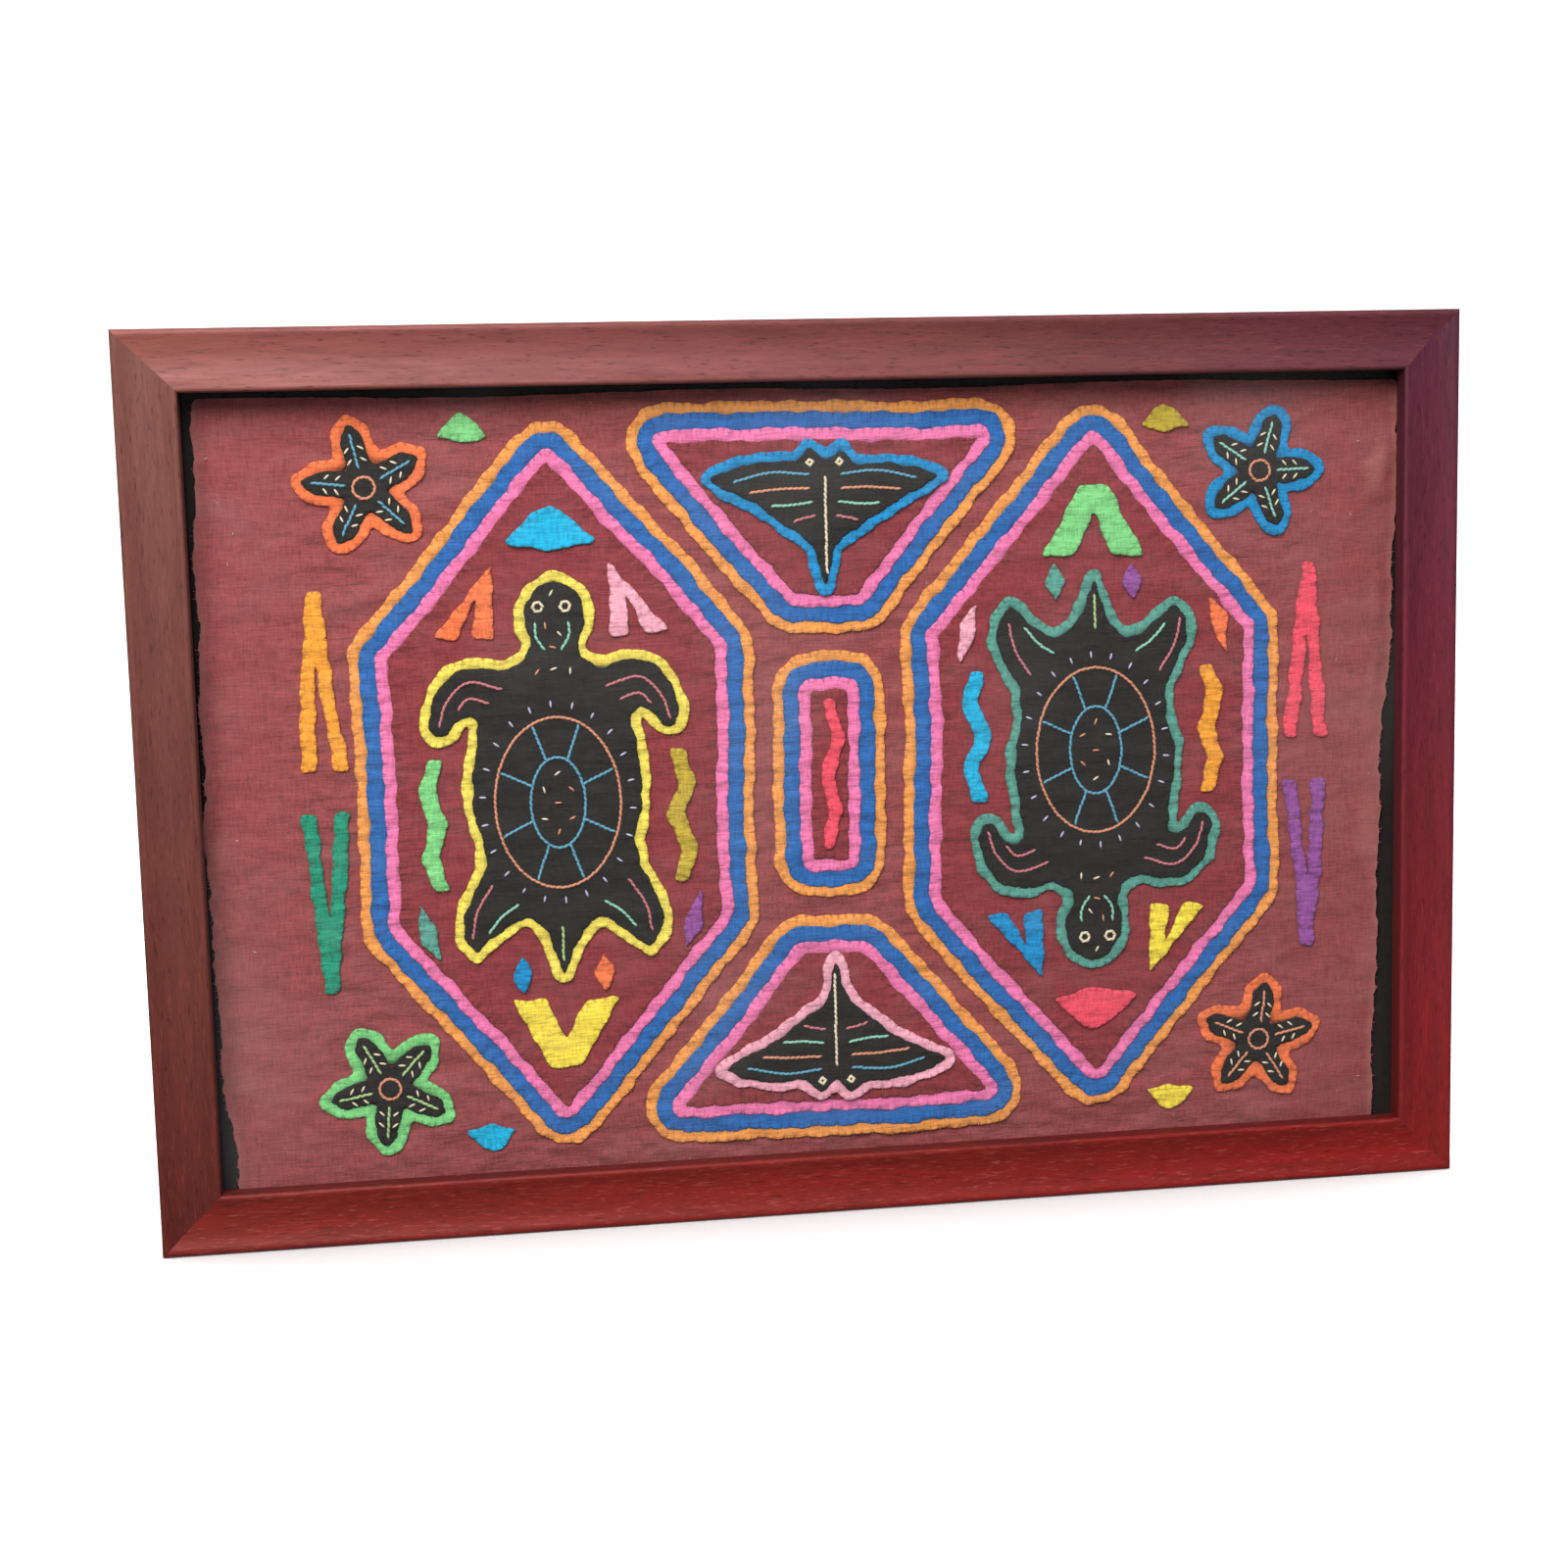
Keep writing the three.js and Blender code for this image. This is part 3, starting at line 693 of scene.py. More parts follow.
def filled(outline, step):
    """A sheet of triangles in the outline: points, faces, and each point's place in the outline or -1."""
    low, high = outline.min(0) + step, outline.max(0) - step
    xs = np.arange(low[0], high[0], step)
    zs = np.arange(low[1], high[1], step * ROW_SHARE)
    grid = np.array([(x + (k % 2) * step / 2, z) for k, z in enumerate(zs) for x in xs]).reshape(-1, 2)
    grid = grid + RNG.uniform(-FILL_JITTER, FILL_JITTER, grid.shape) * step
    grid = grid[inside(grid, outline)]
    near = np.full(len(grid), np.inf)
    for corner in outline[::2]:
        near = np.minimum(near, np.hypot(*(grid - corner).T))
    grid = grid[near > FILL_CLEARANCE * step]
    spots = [Vector(p) for p in np.vstack([outline, grid])]
    ring = [list(range(len(outline)))]
    made = delaunay_2d_cdt(spots, [], ring, 1, 1e-9)
    places = [origins[0] if origins and origins[0] < len(outline) else -1 for origins in made[3]]
    return np.array([tuple(v) for v in made[0]]), [tuple(f) for f in made[2]], np.array(places)


STITCHES = {}


def note_stitches(dye, points, at, out):
    """Keeps a thread across the edge at each stitch, for the thread pieces made at the end."""
    normal = inward(points)
    for i in at:
        spot = points[i] + normal[i] * STITCH_INSET
        STITCHES.setdefault(dye, []).append((spot, normal[i], out))


def turned_edge(seat, top):
    """The rows of a turned edge, from its foot on the cloth below up to its own face."""
    foot = [(0.0, seat - FOOT, 0.0, 0.0)]
    return foot + [(distance, top + height, dent, rim) for distance, height, dent, rim in TURNED_EDGE]


def sewn_band(name, dye, seat, top, outer, width):
    """A strip with a turned outer edge, tucked under the piece inside it."""
    points, dent, at = hand_sewn(outer)
    rows = turned_edge(seat, top)
    rows += [(share * width + more, top + height, sink, rim) for share, more, height, sink, rim in BAND_TOP]
    rows.append((width + TUCK, seat - FOOT, 0.0, 0.0))
    rings, painted_rim_shades = edge_rows(points, dent, rows)
    faces = ring_faces(len(points), len(rings), True)
    note_stitches(dye, points, at, top)
    return add_piece(name, np.vstack(rings), faces, COTTONS[dye], rim=painted_rim_shades)


def sewn_patch(name, dye, seat, top, outline):
    """A whole piece with a turned edge all round and a softly rippled middle."""
    points, dent, at = hand_sewn(outline)
    rows = turned_edge(seat, top)
    if dye in GATHERED:
        rows += [(distance, top + CROWN, sink, 1.0) for distance, sink in GATHERS]
    rings, painted_rim_shades = edge_rows(points, dent, rows)
    count = len(points)
    faces = ring_faces(count, len(rings), False)
    faces.append(tuple(range(count)))
    last = rings[-1][:, [0, 2]]
    spots, middle, places = filled(last, FILL_STEP)
    out = top + CROWN + ripple(spots)
    out = np.where(places < 0, out, -rings[-1][places, 1])
    sheet = np.column_stack([spots[:, 0], -out, spots[:, 1]])
    base = count * len(rings)
    faces += [tuple(base + i for i in face) for face in middle]
    painted_rim_shades = np.concatenate([painted_rim_shades, np.ones(len(sheet))])
    note_stitches(dye, points, at, top)
    return add_piece(name, np.vstack([*rings, sheet]), faces, COTTONS[dye], rim=painted_rim_shades)


def node_span(node):
    """How far a node's back and front stand out from the wall."""
    low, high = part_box(node)
    return -high[1], -low[1]


def slot_of(node):
    return next(row["material_slot"] for row in frame["record"]["subparts"] if row["node"] == node)


def dressed_node(node):
    """The sewn piece that stands for one cut piece of cotton."""
    seat, front = node_span(node)
    loops = front_outlines(node)
    dye = slot_of(node)
    top = front - PRESSED
    if len(loops) > 1:
        outer, inner = loops[:2]
        middle_length = 0.5 * (length_around(outer) + length_around(inner))
        width = (area_of(outer) + area_of(inner)) / middle_length
        piece = sewn_band(f"sewn_{node}", dye, seat, top, outer, width)
    else:
        piece = sewn_patch(f"sewn_{node}", dye, seat, top, loops[0])
    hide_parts(node)
    return piece


def thread_shape(size, sides=6, rings=4):
    """A plump strand along x, flat underneath, as points and faces."""
    points = []
    for k in range(rings + 1):
        t = k / rings * 2 - 1
        swell = math.sqrt(max(0.0, 1 - abs(t) ** THREAD_TAPER)) * (1 - THREAD_TIP) + THREAD_TIP
        for i in range(sides):
            turn = 2 * math.pi * i / sides
            across = 0.5 * size["width"] * swell * math.cos(turn)
            height = (1 - THREAD_BED) * swell * max(THREAD_UNDERSIDE, math.sin(turn))
            points.append((0.5 * size["length"] * t, across, size["rise"] * (THREAD_BED + height)))
    faces = []
    for k in range(rings):
        for i in range(sides):
            j = (i + 1) % sides
            faces.append((k * sides + i, k * sides + j, (k + 1) * sides + j, (k + 1) * sides + i))
    faces.append(tuple(range(sides)))
    faces.append(tuple(rings * sides + i for i in range(sides)))
    return np.array(points), faces


def threads(name, size, places, material, sides=6, rings=4):
    """One piece of many strands; each place is a point on the face, a direction and a height out."""
    shape, shape_faces = thread_shape(size, sides, rings)
    points = []
    faces = []
    for k, (spot, along, out) in enumerate(places):
        along = along / np.hypot(*along)
        across = np.array([-along[1], along[0]])
        on_face = spot + shape[:, :1] * along + shape[:, 1:2] * across
        points.append(np.column_stack([on_face[:, 0], -(out + shape[:, 2]), on_face[:, 1]]))
        faces += [tuple(k * len(shape) + i for i in face) for face in shape_faces]
    return add_piece(name, np.vstack(points), faces, material)


# Embroidery, drawn in the figure's own millimetres and fitted to its node's box

FIGURE_REACH = {
    "turtle": {"x": (-46, 46), "y": (-69, 80)},
    "ray": {"x": (-43, 43), "y": (-31, 20)},
}
TURTLE_RINGS = (
    {"thread": "salmon", "middle": (0, -3), "half": (23, 32)},
    {"thread": "steel", "middle": (0, -3), "half": (10, 17)},
)
TURTLE_SPOKES = {"thread": "steel", "count": 8, "inner": (10, 17), "outer": (22, 31), "middle": (0, -3)}
TURTLE_LINES = (
    {"thread": "dusty_pink", "points": ((19, 40), (31, 43), (39, 36), (42, 27))},
    {"thread": "dusty_pink", "points": ((24, 35), (31, 37), (35, 33))},
    {"thread": "dusty_pink", "points": ((25, -33), (31, -43), (33, -53))},
    {"thread": "mint", "points": ((16, -41), (22, -45), (27, -51))},
    {"thread": "mint", "points": ((3, 54), (6, 59), (6, 64))},
    {"thread": "pale_green", "points": ((0, -50), (0, -63))},
)
TURTLE_SEEDS = (
    (0, -3), (0, 8), (0, -14), (-5, 2), (5, 2), (-5, -9), (5, -9),
    (0, 75), (-2.5, 63), (2.5, 60), (0, 55), (0, 47), (-6, 46), (6, 46),
)
TURTLE_SEAM = {"thread": "lavender", "count": 22, "middle": (0, -3), "half": (27.5, 37)}
RAY_LINES = (
    {"thread": "steel", "points": ((6, 10), (20, 11), (34, 8))},
    {"thread": "salmon", "points": ((6, 5), (17, 5), (28, 4))},
    {"thread": "mint", "points": ((5, 0), (13, -1), (20, -1))},
    {"thread": "dusty_pink", "points": ((4, -5), (9, -6), (12, -7))},
    {"thread": "cream", "points": ((0, 9), (0, -4), (0, -16), (0, -26))},
)
EYES = {"turtle": ((5, 70), 1.9), "ray": ((5.5, 14.5), 1.2)}
EYE_POINTS = 9
SPOKE_START = math.pi / 8
SEAM_START = 0.2
SEED_TURN = 0.6

# A starfish: a line and pairs of dashes along each arm, as shares of its reach, and a ring in the middle
STAR_THREADS = ("pale_green", "salmon", "steel", "mint")
STAR_LINE = (0.3, 0.56, 0.82)
STAR_DASHES = (0.42, 0.6)
STAR_DASH_ASIDE = 0.11
STAR_DASH_LEAN = 0.7
STAR_RING = 4 * MM
STAR_RING_POINTS = 13
TIP_WINDOW = 12


def figure_place(node, kind, turned):
    """A function from the figure's own millimetres to points on the face."""
    low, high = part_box(node)
    reach = FIGURE_REACH[kind]

    def place(x, y):
        u = (x - reach["x"][0]) / (reach["x"][1] - reach["x"][0])
        v = (y - reach["y"][0]) / (reach["y"][1] - reach["y"][0])
        u, v = (1 - u, 1 - v) if turned else (u, v)
        return low[0] + u * (high[0] - low[0]), low[2] + v * (high[2] - low[2])

    return place


def smooth_line(points, step):
    """A curve through the points (Catmull-Rom), with a point every step."""
    points = np.array(points, float)
    ends = np.vstack([2 * points[0] - points[1], points, 2 * points[-1] - points[-2]])
    fine = []
    for a, b, c, d in zip(ends, ends[1:], ends[2:], ends[3:]):
        for t in np.linspace(0, 1, CURVE_STEPS, endpoint=False):
            fine.append(0.5 * (2 * b + (c - a) * t + (2 * a - 5 * b + 4 * c - d) * t * t
                               + (3 * b - a - 3 * c + d) * t ** 3))
    fine = np.array([*fine, points[-1]])
    run = np.concatenate([[0], np.cumsum(np.hypot(*np.diff(fine, axis=0).T))])
    stops = np.linspace(0, run[-1], max(2, round(run[-1] / step)) + 1)
    return np.column_stack([np.interp(stops, run, fine[:, k]) for k in (0, 1)])


LINES = {}
DASHES = {}


def embroider(thread, points, out):
    """A line of stem stitches: each strand leans a little across the line."""
    line = smooth_line(points, LINE_PITCH)
    for a, b in zip(line, line[1:]):
        along = b - a
        lean = np.array([-along[1], along[0]]) * (LINE_LEAN + RNG.normal(0, LEAN_WAVER))
        spot = 0.5 * (a + b) + RNG.normal(0, LINE_WAVER, 2)
        LINES.setdefault(thread, []).append((spot, along + lean, out + ripple_at(spot)))


def dash(thread, spot, turn, out):
    spot = np.array(spot)
    along = np.array([math.cos(turn), math.sin(turn)])
    DASHES.setdefault(thread, []).append((spot, along, out + ripple_at(spot)))


def oval(middle, half, start=0.0, count=25):
    turns = np.linspace(start, start + 2 * math.pi, count)
    return [(middle[0] + half[0] * math.cos(t), middle[1] + half[1] * math.sin(t)) for t in turns]


def embroider_halves(kind, lines, place, out):
    """The lines and the eye on each half of a figure; a line on its axis is sewn once."""
    (eye_x, eye_y), radius = EYES[kind]
    for side in (-1, 1):
        for line in lines:
            if side < 0 and line["points"][0][0] == 0:
                continue
            embroider(line["thread"], [place(side * x, y) for x, y in line["points"]], out)
        eye = oval((side * eye_x, eye_y), (radius, radius), 0, EYE_POINTS)
        embroider("cream", [place(*p) for p in eye], out)


def embroider_turtle(node, turned):
    place = figure_place(node, "turtle", turned)
    out = node_span(node)[1] - PRESSED
    for ring in TURTLE_RINGS:
        embroider(ring["thread"], [place(*p) for p in oval(ring["middle"], ring["half"])], out)
    spokes = TURTLE_SPOKES
    inner = oval(spokes["middle"], spokes["inner"], SPOKE_START, spokes["count"] + 1)
    outer = oval(spokes["middle"], spokes["outer"], SPOKE_START, spokes["count"] + 1)
    for a, b in list(zip(inner, outer))[:-1]:
        embroider(spokes["thread"], [place(*a), place(*b)], out)
    embroider_halves("turtle", TURTLE_LINES, place, out)
    for k, (x, y) in enumerate(TURTLE_SEEDS):
        dash("cream" if k % 2 else "salmon", place(x, y), SEED_TURN * k, out)
    seams = oval(TURTLE_SEAM["middle"], TURTLE_SEAM["half"], SEAM_START, TURTLE_SEAM["count"] + 1)[:-1]
    for k, (x, y) in enumerate(seams):
        dash(TURTLE_SEAM["thread"], place(x, y), k * 2 * math.pi / len(seams) + SEAM_START, out)


def embroider_ray(node, turned):
    place = figure_place(node, "ray", turned)
    embroider_halves("ray", RAY_LINES, place, node_span(node)[1] - PRESSED)


def embroider_star(node, thread):
    outline = respaced(front_outlines(node)[0], EDGE_STEP)
    middle = outline.mean(0)
    reach = np.hypot(*(outline - middle).T)
    out = node_span(node)[1] - PRESSED
    window = len(outline) // TIP_WINDOW
    near = [np.take(reach, range(i - window, i + window + 1), mode="wrap") for i in range(len(outline))]
    tips = [i for i in range(len(outline)) if reach[i] >= near[i].max()]
    for tip in tips:
        arm = outline[tip] - middle
        embroider(thread, [middle + arm * share for share in STAR_LINE], out)
        across = math.atan2(arm[1], arm[0]) + math.pi / 2
        for share in STAR_DASHES:
            for side in (-1, 1):
                offset = np.array([-arm[1], arm[0]]) * STAR_DASH_ASIDE * side
                dash("cream", middle + arm * share + offset, across + STAR_DASH_LEAN * side, out)
    embroider("salmon", oval(middle, (STAR_RING, STAR_RING), 0, STAR_RING_POINTS), out)


# Rays beside each other, so that none slips through a seam of the solid's faces
RAY_SPREAD = ((0, 0), (0.05 * MM, 0.03 * MM), (-0.04 * MM, 0.05 * MM))
RAY_START = 5 * MM
SIDE_FACING = 0.6
FRAY_FACING = 0.9


def side_distance(spots, outline):
    """Each spot's distance to the nearest of the outline's two side edges."""
    sides = outline[np.abs(inward(outline)[:, 0]) > SIDE_FACING]
    tree = KDTree(len(sides))
    for i, (x, z) in enumerate(sides):
        tree.insert((x, 0, z), i)
    tree.balance()
    return np.array([tree.find((x, 0, z))[2] for x, z in spots])


def ground_cloth():
    """The plain ground: the cut sheet with its loose margins, level wrinkles and uneven edges."""
    node = "ground_cloth"
    solid = frame["nodes"][node].data
    tree = BVHTree.FromPolygons([v.co for v in solid.vertices], [p.vertices for p in solid.polygons])
    outline = softened(respaced(front_outlines(node, flat=False)[0], GROUND_EDGE_STEP), 3)
    jags = softened(RNG.normal(0, SIDE_JAGS, outline.shape), 2)
    jags = jags + RNG.normal(0, EDGE_JAGS, outline.shape)
    outline = outline + jags * (1, LEVEL_JAG_SHARE)
    outline[outline[:, 1] < outline[:, 1].min() + HEM_REACH, 1] -= HIDDEN_HEM
    spots, faces, places = filled(outline, GROUND_STEP)
    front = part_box(node)[0][1] - RAY_START
    out = []
    for x, z in spots:
        starts = [Vector((x + dx, front, z + dz)) for dx, dz in RAY_SPREAD]
        hits = [tree.ray_cast(start, Vector((0, 1, 0)))[0] for start in starts]
        hits = [hit for hit in hits if hit] or [tree.find_nearest(starts[0])[0]]
        out.append(max(-hit.y for hit in hits))
    lift = np.array(out)
    edge = side_distance(spots, outline)
    calm = np.clip((CALM_WIDTH - edge) / CALM_FADE, 0, 1)
    out = lift + ripple(spots) * (GROUND_RIPPLE - CALM_RIPPLE * calm)
    thickness = np.diff(node_span("mount_board"))[0] * BOARD_SHARE
    face = np.column_stack([spots[:, 0], -out, spots[:, 1]])
    back = face + np.array([0, thickness, 0])
    count = len(spots)
    rim = len(outline)
    faces = [*faces, *[tuple(count + i for i in reversed(f)) for f in faces]]
    faces += [(i, (i + 1) % rim, count + (i + 1) % rim, count + i) for i in range(rim)]
    fray = np.clip(1 - edge / FRAY_WIDTH, 0, 1)
    crest = np.clip((lift - np.median(lift) - CREASE_START) / CREASE_RISE, 0, CREASE_WEAR)
    shades = {"fray": np.tile(np.maximum(fray, crest), 2), "calm": np.tile(calm, 2)}
    piece = add_piece("sewn_ground_cloth", np.vstack([face, back]), faces, COTTONS["wine"], **shades)
    piece.data.set_sharp_from_angle(angle=GROUND_CREASE)
    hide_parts(node)
    return piece, outline, out[:rim]


def stray_fibres(outline, out):
    """Frayed thread ends along the cut side edges, and a few bits of lint on the cloth."""
    low, high = outline.min(0), outline.max(0)
    normal = -inward(outline)
    sides = [i for i in range(len(outline)) if abs(normal[i][0]) > FRAY_FACING]
    ends = []
    for i in RNG.choice(sides, FRAYED_COUNT):
        lean = normal[i] + RNG.normal(0, FRAYED_LEAN, 2)
        spot = outline[i] + normal[i] * RNG.uniform(*FRAYED_REACH) * MM
        ends.append((spot, lean, out[i] - FRAYED_SINK))
    fray = threads("frayed_ends", FRAYED_END, ends, yarn("frayed_thread", FRAYED), **COARSE)
    level = float(np.median(out)) + LINT_RISE
    bits = []
    for _ in range(LINT_COUNT):
        if RNG.random() < LINT_LEFT_SHARE:
            x = low[0] + RNG.uniform(*LINT_LEFT) * MM
        else:
            x = high[0] - RNG.uniform(*LINT_RIGHT) * MM
        spot = np.array([x, RNG.uniform(low[1] + LINT_INSET, high[1] - LINT_INSET)])
        bits.append((spot, RNG.normal(0, 1, 2), level + ripple_at(spot)))
    lint = threads("lint", LINT, bits, yarn("lint_fluff", FLUFF), **COARSE)
    return [fray, lint]


def bend(a, b, c, count):
    """Points of a quadratic curve, without its first."""
    steps = np.linspace(0, 1, count + 1)[1:, None]
    a, b, c = (np.array(p) for p in (a, b, c))
    return (1 - steps) ** 2 * a + 2 * steps * (1 - steps) * b + steps ** 2 * c


def rail_section(face, depth):
    """The rail's section as (across from the outer edge, out from the wall)."""
    crest = depth - CREST_DROP
    start = np.array([(BACK_CHAMFER, 0.0), (0.0, BACK_CHAMFER), (0.0, crest - ARRIS)])
    arris = bend((0, crest - ARRIS), (0, crest), (ARRIS, crest), ROUND_STEPS)
    lip_start = (face - LIP_ROUND, depth)
    scoop = bend((ARRIS, crest), (face / 2, crest - SCOOP_DEPTH), lip_start, SCOOP_STEPS)
    lip = bend(lip_start, (face, depth), (face, depth - LIP_ROUND), ROUND_STEPS)
    inner = face - RABBET_WIDTH
    rabbet = np.array([
        (face, RABBET_DEPTH),
        (inner, RABBET_DEPTH),
        (inner, RABBET_CHAMFER),
        (inner - RABBET_CHAMFER, 0),
    ])
    return np.vstack([start, arris, scoop, lip, rabbet])


def rail(node, along, sign, shift, lit_end_tones, paleness):
    """A mitred rail, swept along its axis, with painted shade on its inner sight face."""
    low, high = (np.array(corner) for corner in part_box(node))
    half = (high[along] - low[along] + MITRE_GAP * math.sqrt(2)) / 2
    middle = (high[along] + low[along]) / 2
    up = 2 - along
    face, depth = high[up] - low[up], high[1] - low[1]
    section = rail_section(face, depth)
    # Painted shade share: nought on the lip's top, full down the lip's rounding and the sight face
    painted_sight_share = np.clip((depth - section[:, 1]) / LIP_ROUND, 0, 1) * (section[:, 0] > face - LIP_ROUND)
    edge = high[up] if sign > 0 else low[up]
    steps = max(4, round(2 * half / RAIL_STEP))
    points = []
    for k in range(steps + 1):
        t = k / steps * 2 - 1
        for across, out in section:
            spot = np.zeros(3)
            spot[along] = middle + t * (half - across)
            spot[1] = high[1] - out
            spot[up] = edge - sign * across
            points.append(spot)
    count = len(section)
    faces = ring_faces(count, steps + 1, False)
    faces += [tuple(range(count)), tuple(steps * count + i for i in range(count))]
    ends = (low[along], high[along])
    material = wood(f"{node}_mahogany", along, ends, shift, lit_end_tones, paleness)
    painted_rim_shades = np.tile(1 - SIGHT_PAINTED_SHADE * painted_sight_share, steps + 1)
    piece = add_piece(f"moulded_{node}", points, faces, material, rim=painted_rim_shades)
    piece.data.set_sharp_from_angle(angle=RAIL_CREASE)
    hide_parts(node)
    return piece


# Small slips on the right of a turtle, in its own millimetres, mirrored for its left; the dyes are those of
# the left turtle's left and right slips, then the right turtle's
SLIPS = (
    {"points": ((43, 60), (34, 59), (27, 74), (28.5, 59), (21, 58), (21, 86)),
     "dyes": ("coral", "rose", "golden", "sky")},
    {"points": ((52, -38), (46, -48), (45, -61), (52, -54)),
     "dyes": ("teal", "purple", "coral", "rose")},
    {"points": ((15, -60), (19, -68), (15, -76), (11, -68)),
     "dyes": ("sky", "coral", "purple", "teal")},
)
SLIP_THICKNESS = 0.8 * MM


def extra_slips():
    """The slips beside both turtles."""
    seat = node_span("left_turtle")[0]
    pieces = []
    for t, (turtle, turned) in enumerate((("left_turtle", False), ("right_turtle", True))):
        place = figure_place(turtle, "turtle", turned)
        for k, row in enumerate(SLIPS):
            for side in (0, 1):
                dye = row["dyes"][2 * t + side]
                outline = np.array([place(x if side else -x, y) for x, y in row["points"]])
                outline = outline if area_of(outline) > 0 else outline[::-1]
                name = f"sewn_slip_{turtle}_{k}_{side}"
                piece = sewn_patch(name, dye, seat, seat + SLIP_THICKNESS, outline)
                pieces.append(piece)
    return pieces


SWEEP = {"front": -3.5, "depth": 1.9, "reach": 4.0, "radius": 0.7, "height": 3.2, "steps": 16}


def stage(floor):
    """A pale floor that sweeps up into a far backdrop, behind where the back is looked at from."""
    size = SWEEP
    flat = size["depth"] - size["radius"]
    profile = [(size["front"], 0.0), (flat, 0.0)]
    for turn in np.linspace(0, math.pi / 2, size["steps"] + 1)[1:]:
        profile.append((flat + size["radius"] * math.sin(turn), size["radius"] * (1 - math.cos(turn))))
    profile.append((size["depth"], size["height"]))
    points = [(x, y, floor + z) for x in (-size["reach"], size["reach"]) for y, z in profile]
    count = len(profile)
    faces = [(i, count + i, count + i + 1, i + 1) for i in range(count - 1)]
    mesh = bpy.data.meshes.new("sweep")
    mesh.from_pydata(points, [], faces)
    for face in mesh.polygons:
        face.use_smooth = True
    mesh.materials.append(pale_ground("pale_sweep"))
    sweep = bpy.data.objects.new("sweep", mesh)
    bpy.context.collection.objects.link(sweep)
    sweep.visible_diffuse = False
    sweep.visible_glossy = False
    return sweep


LIGHTS = (
    {"name": "softbox", "place": (-0.55, -1.15, 0.8), "aim": (0, 0, -0.16), "size": 0.9, "power": 31},
    {"name": "side_fill", "place": (1.3, -1.0, 0.9), "aim": (0, 0, -0.16), "size": 1.0, "power": 7,
     "tint": (0.78, 0.72, 1.0)},
    {"name": "back_fill", "place": (0.7, 1.2, 0.7), "aim": (0, 0, -0.16), "size": 1.0, "power": 14},
)
ROOM_LIGHT = 0.3
ROOM_SEEN = 1.0
WASHES = (
    {"name": "floor_wash", "place": (0, 0.2, 1.1), "aim": (0, 0.2, -0.33), "spread": 1.2, "power": 2.4},
    {"name": "backdrop_wash", "place": (0, 0.8, 2.1), "aim": (0, 1.9, 0.35), "size": 2.6, "power": 140},
)


def lamp_of(row):
    """A soft square lamp, or, for a row with a spread, a soft even light over everything."""
    lamp = bpy.data.lights.new(row["name"], "SUN" if "spread" in row else "AREA")
    if "spread" in row:
        lamp.angle = row["spread"]
    else:
        lamp.size = row["size"]
    lamp.energy = row["power"]
    lamp.color = row.get("tint", (1, 1, 1))
    holder = bpy.data.objects.new(row["name"], lamp)
    holder.location = row["place"]
    holder.rotation_euler = (Vector(row["aim"]) - holder.location).to_track_quat("-Z", "Y").to_euler()
    holder.visible_camera = False
    bpy.context.collection.objects.link(holder)
    return holder


def lights(sweep):
    """Soft light that leaves out the pale sweep, and washes that reach the sweep alone."""
    groups = {}
    for state in ("EXCLUDE", "INCLUDE"):
        groups[state] = bpy.data.collections.new(f"sweep_{state.lower()}")
        groups[state].objects.link(sweep)
        groups[state].collection_objects[0].light_linking.link_state = state
    for row in LIGHTS:
        lamp_of(row).light_linking.receiver_collection = groups["EXCLUDE"]
    for row in WASHES:
        lamp_of(row).light_linking.receiver_collection = groups["INCLUDE"]
    world = bpy.data.worlds.new("soft_room")
    world.use_nodes = True
    nodes, links = world.node_tree.nodes, world.node_tree.links
    nodes["Background"].inputs["Color"].default_value = ROOM_TONE
    seen = nodes.new("ShaderNodeLightPath").outputs["Is Camera Ray"]
    strength = nodes.new("ShaderNodeMapRange")
    strength.inputs["To Min"].default_value = ROOM_LIGHT
    strength.inputs["To Max"].default_value = ROOM_SEEN
    links.new(seen, strength.inputs["Value"])
    links.new(strength.outputs[0], nodes["Background"].inputs["Strength"])
    bpy.context.scene.world = world


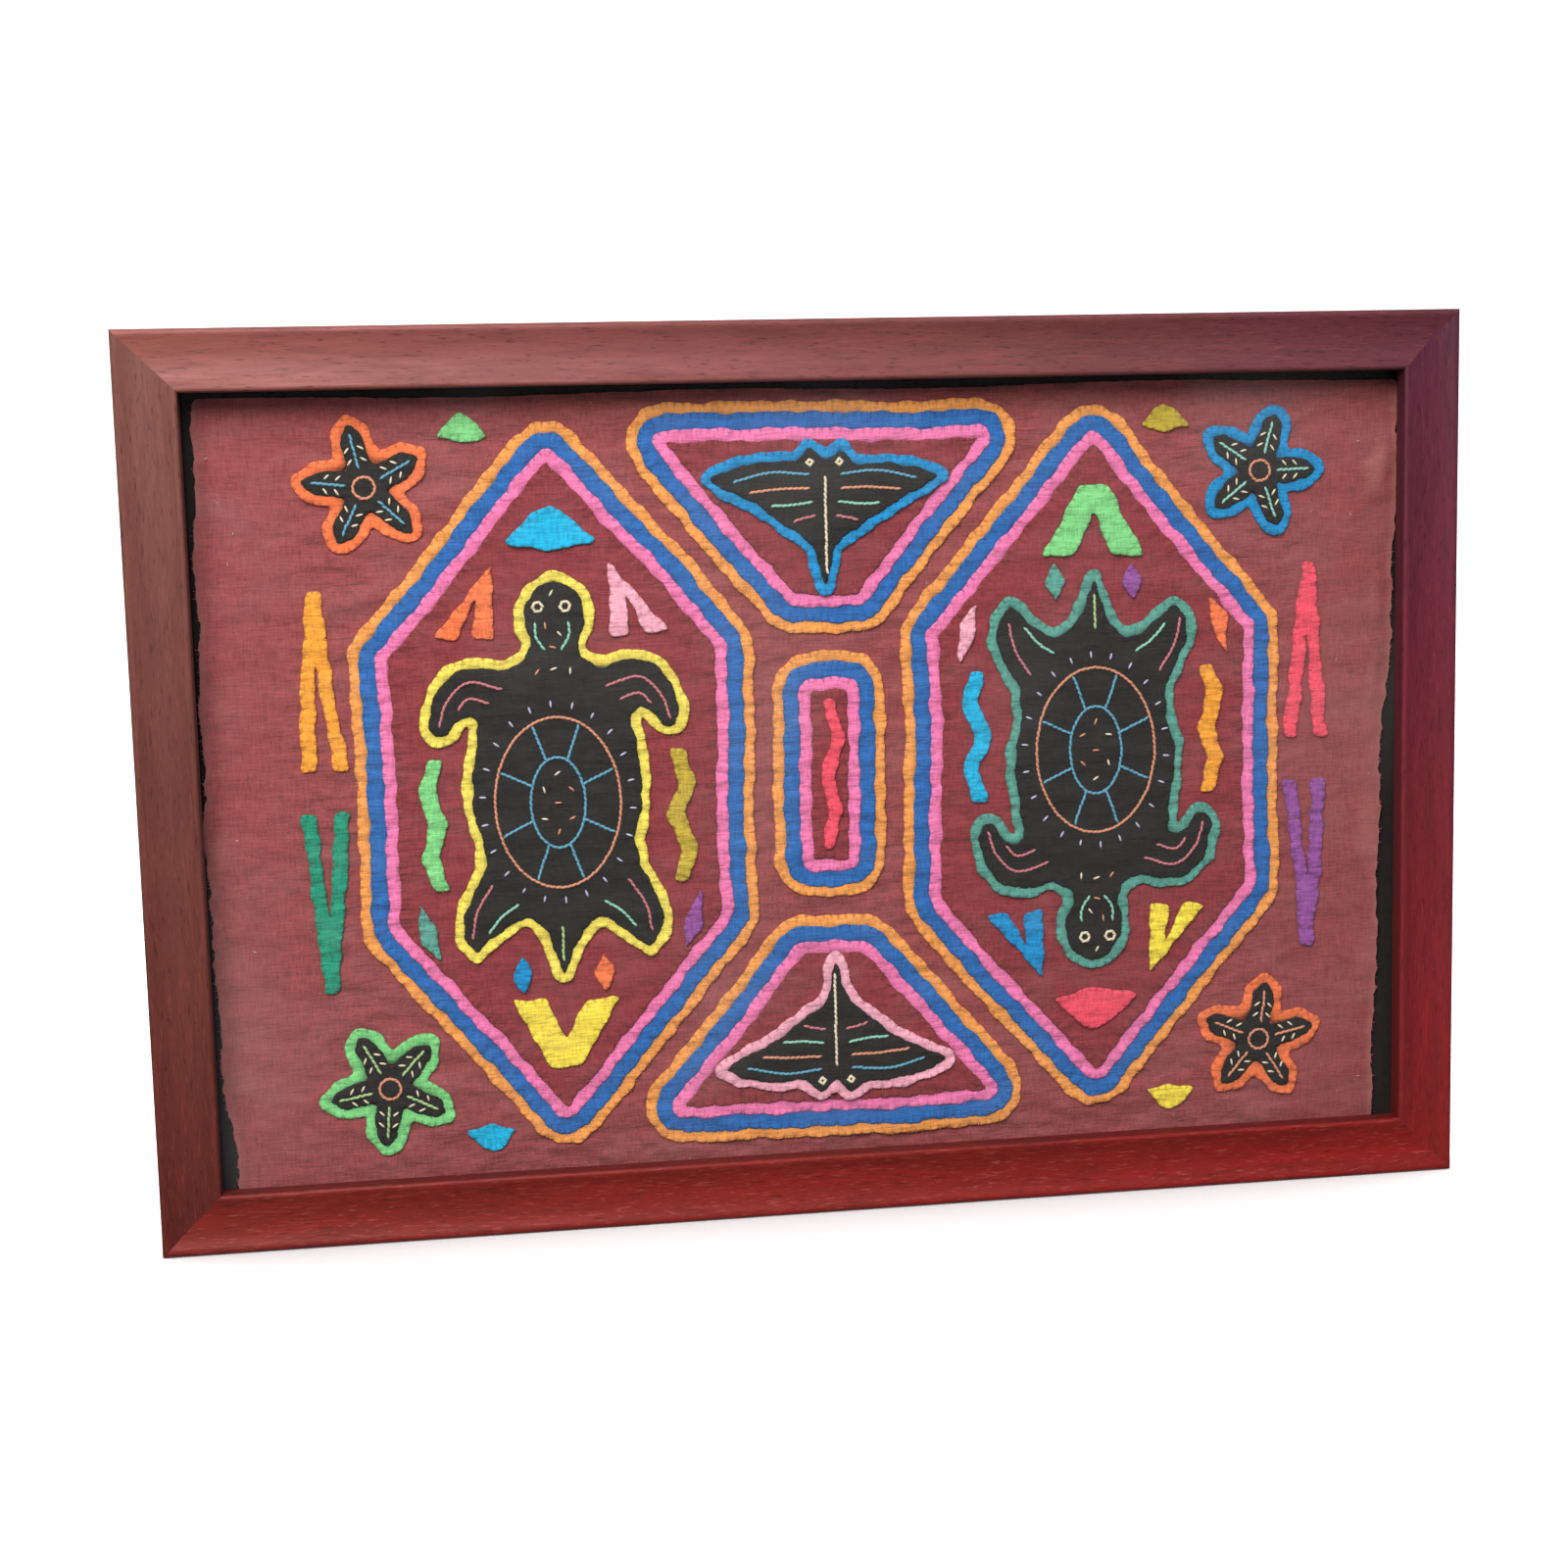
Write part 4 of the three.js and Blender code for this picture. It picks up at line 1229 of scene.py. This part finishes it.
def camera(foot):
    """The photograph's viewpoint, from the middle of the frame's bottom front edge."""
    data = bpy.data.cameras.new("camera")
    data.sensor_width = SENSOR_WIDTH
    data.lens = SENSOR_WIDTH * FOCAL_PIXELS / PICTURE_PIXELS
    data.dof.use_dof = False
    holder = bpy.data.objects.new("camera", data)
    aim = CAMERA_AIM.normalized()
    right = aim.cross(CAMERA_UP).normalized()
    up = right.cross(aim)
    turn = Matrix((right, up, -aim)).transposed().to_4x4()
    holder.matrix_world = Matrix.Translation(foot + CAMERA_PLACE) @ turn
    bpy.context.collection.objects.link(holder)
    bpy.context.scene.camera = holder


COTTONS = {
    dye: cotton(
        f"cotton_{dye}",
        screen,
        faded=0.22 if "wine" in dye else 0.05 if dye == "black" else 0.2,
        lint=0.4 if dye == "wine" else 0.0,
        sheen=0.03 if dye == "black" else 0.15,
    )
    for dye, screen in DYES.items()
}
YARNS = {name: yarn(f"yarn_{name}", screen) for name, screen in {**THREADS, **DYES}.items()}

low, high = (Vector(corner) for corner in CAD_BOX)
camera(Vector(((low.x + high.x) / 2, high.y - FRONT_EDGE_OUT, low.z)))
lights(stage(low.z))
bpy.context.scene.view_settings.view_transform = "Standard"

NODES = sorted(frame["nodes"])
NOT_SEWN_ON = (*(row["node"] for row in RAILS), "glazing", "mount_board", "ground_cloth")

for rail_row in RAILS:
    rail(**rail_row)
finishes = {"glazing": clear_glass("picture_glass"), "mount_board": faced_board("black_faced_board")}
for node_name, finish in finishes.items():
    slots = frame["nodes"][node_name].data.materials
    slots.clear()
    slots.append(finish)

ground, ground_edge, ground_out = ground_cloth()
sewn = [dressed_node(node) for node in NODES if node not in NOT_SEWN_ON]
sewn += extra_slips()

embroider_turtle("left_turtle", False)
embroider_turtle("right_turtle", True)
embroider_ray("top_ray", False)
embroider_ray("bottom_ray", True)
for star, star_thread in zip(sorted(n for n in NODES if n.endswith("_star")), STAR_THREADS):
    embroider_star(star, star_thread)

for dye, places in STITCHES.items():
    sewn.append(threads(f"edge_stitches_{dye}", EDGE_THREAD, places, YARNS[dye], **COARSE))
for thread, places in LINES.items():
    sewn.append(threads(f"embroidery_{thread}", LINE_THREAD, places, YARNS[thread]))
for thread, places in DASHES.items():
    sewn.append(threads(f"dashes_{thread}", DASH, places, YARNS[thread]))
sewn += stray_fibres(ground_edge, ground_out)

float(area_of(ground_edge))
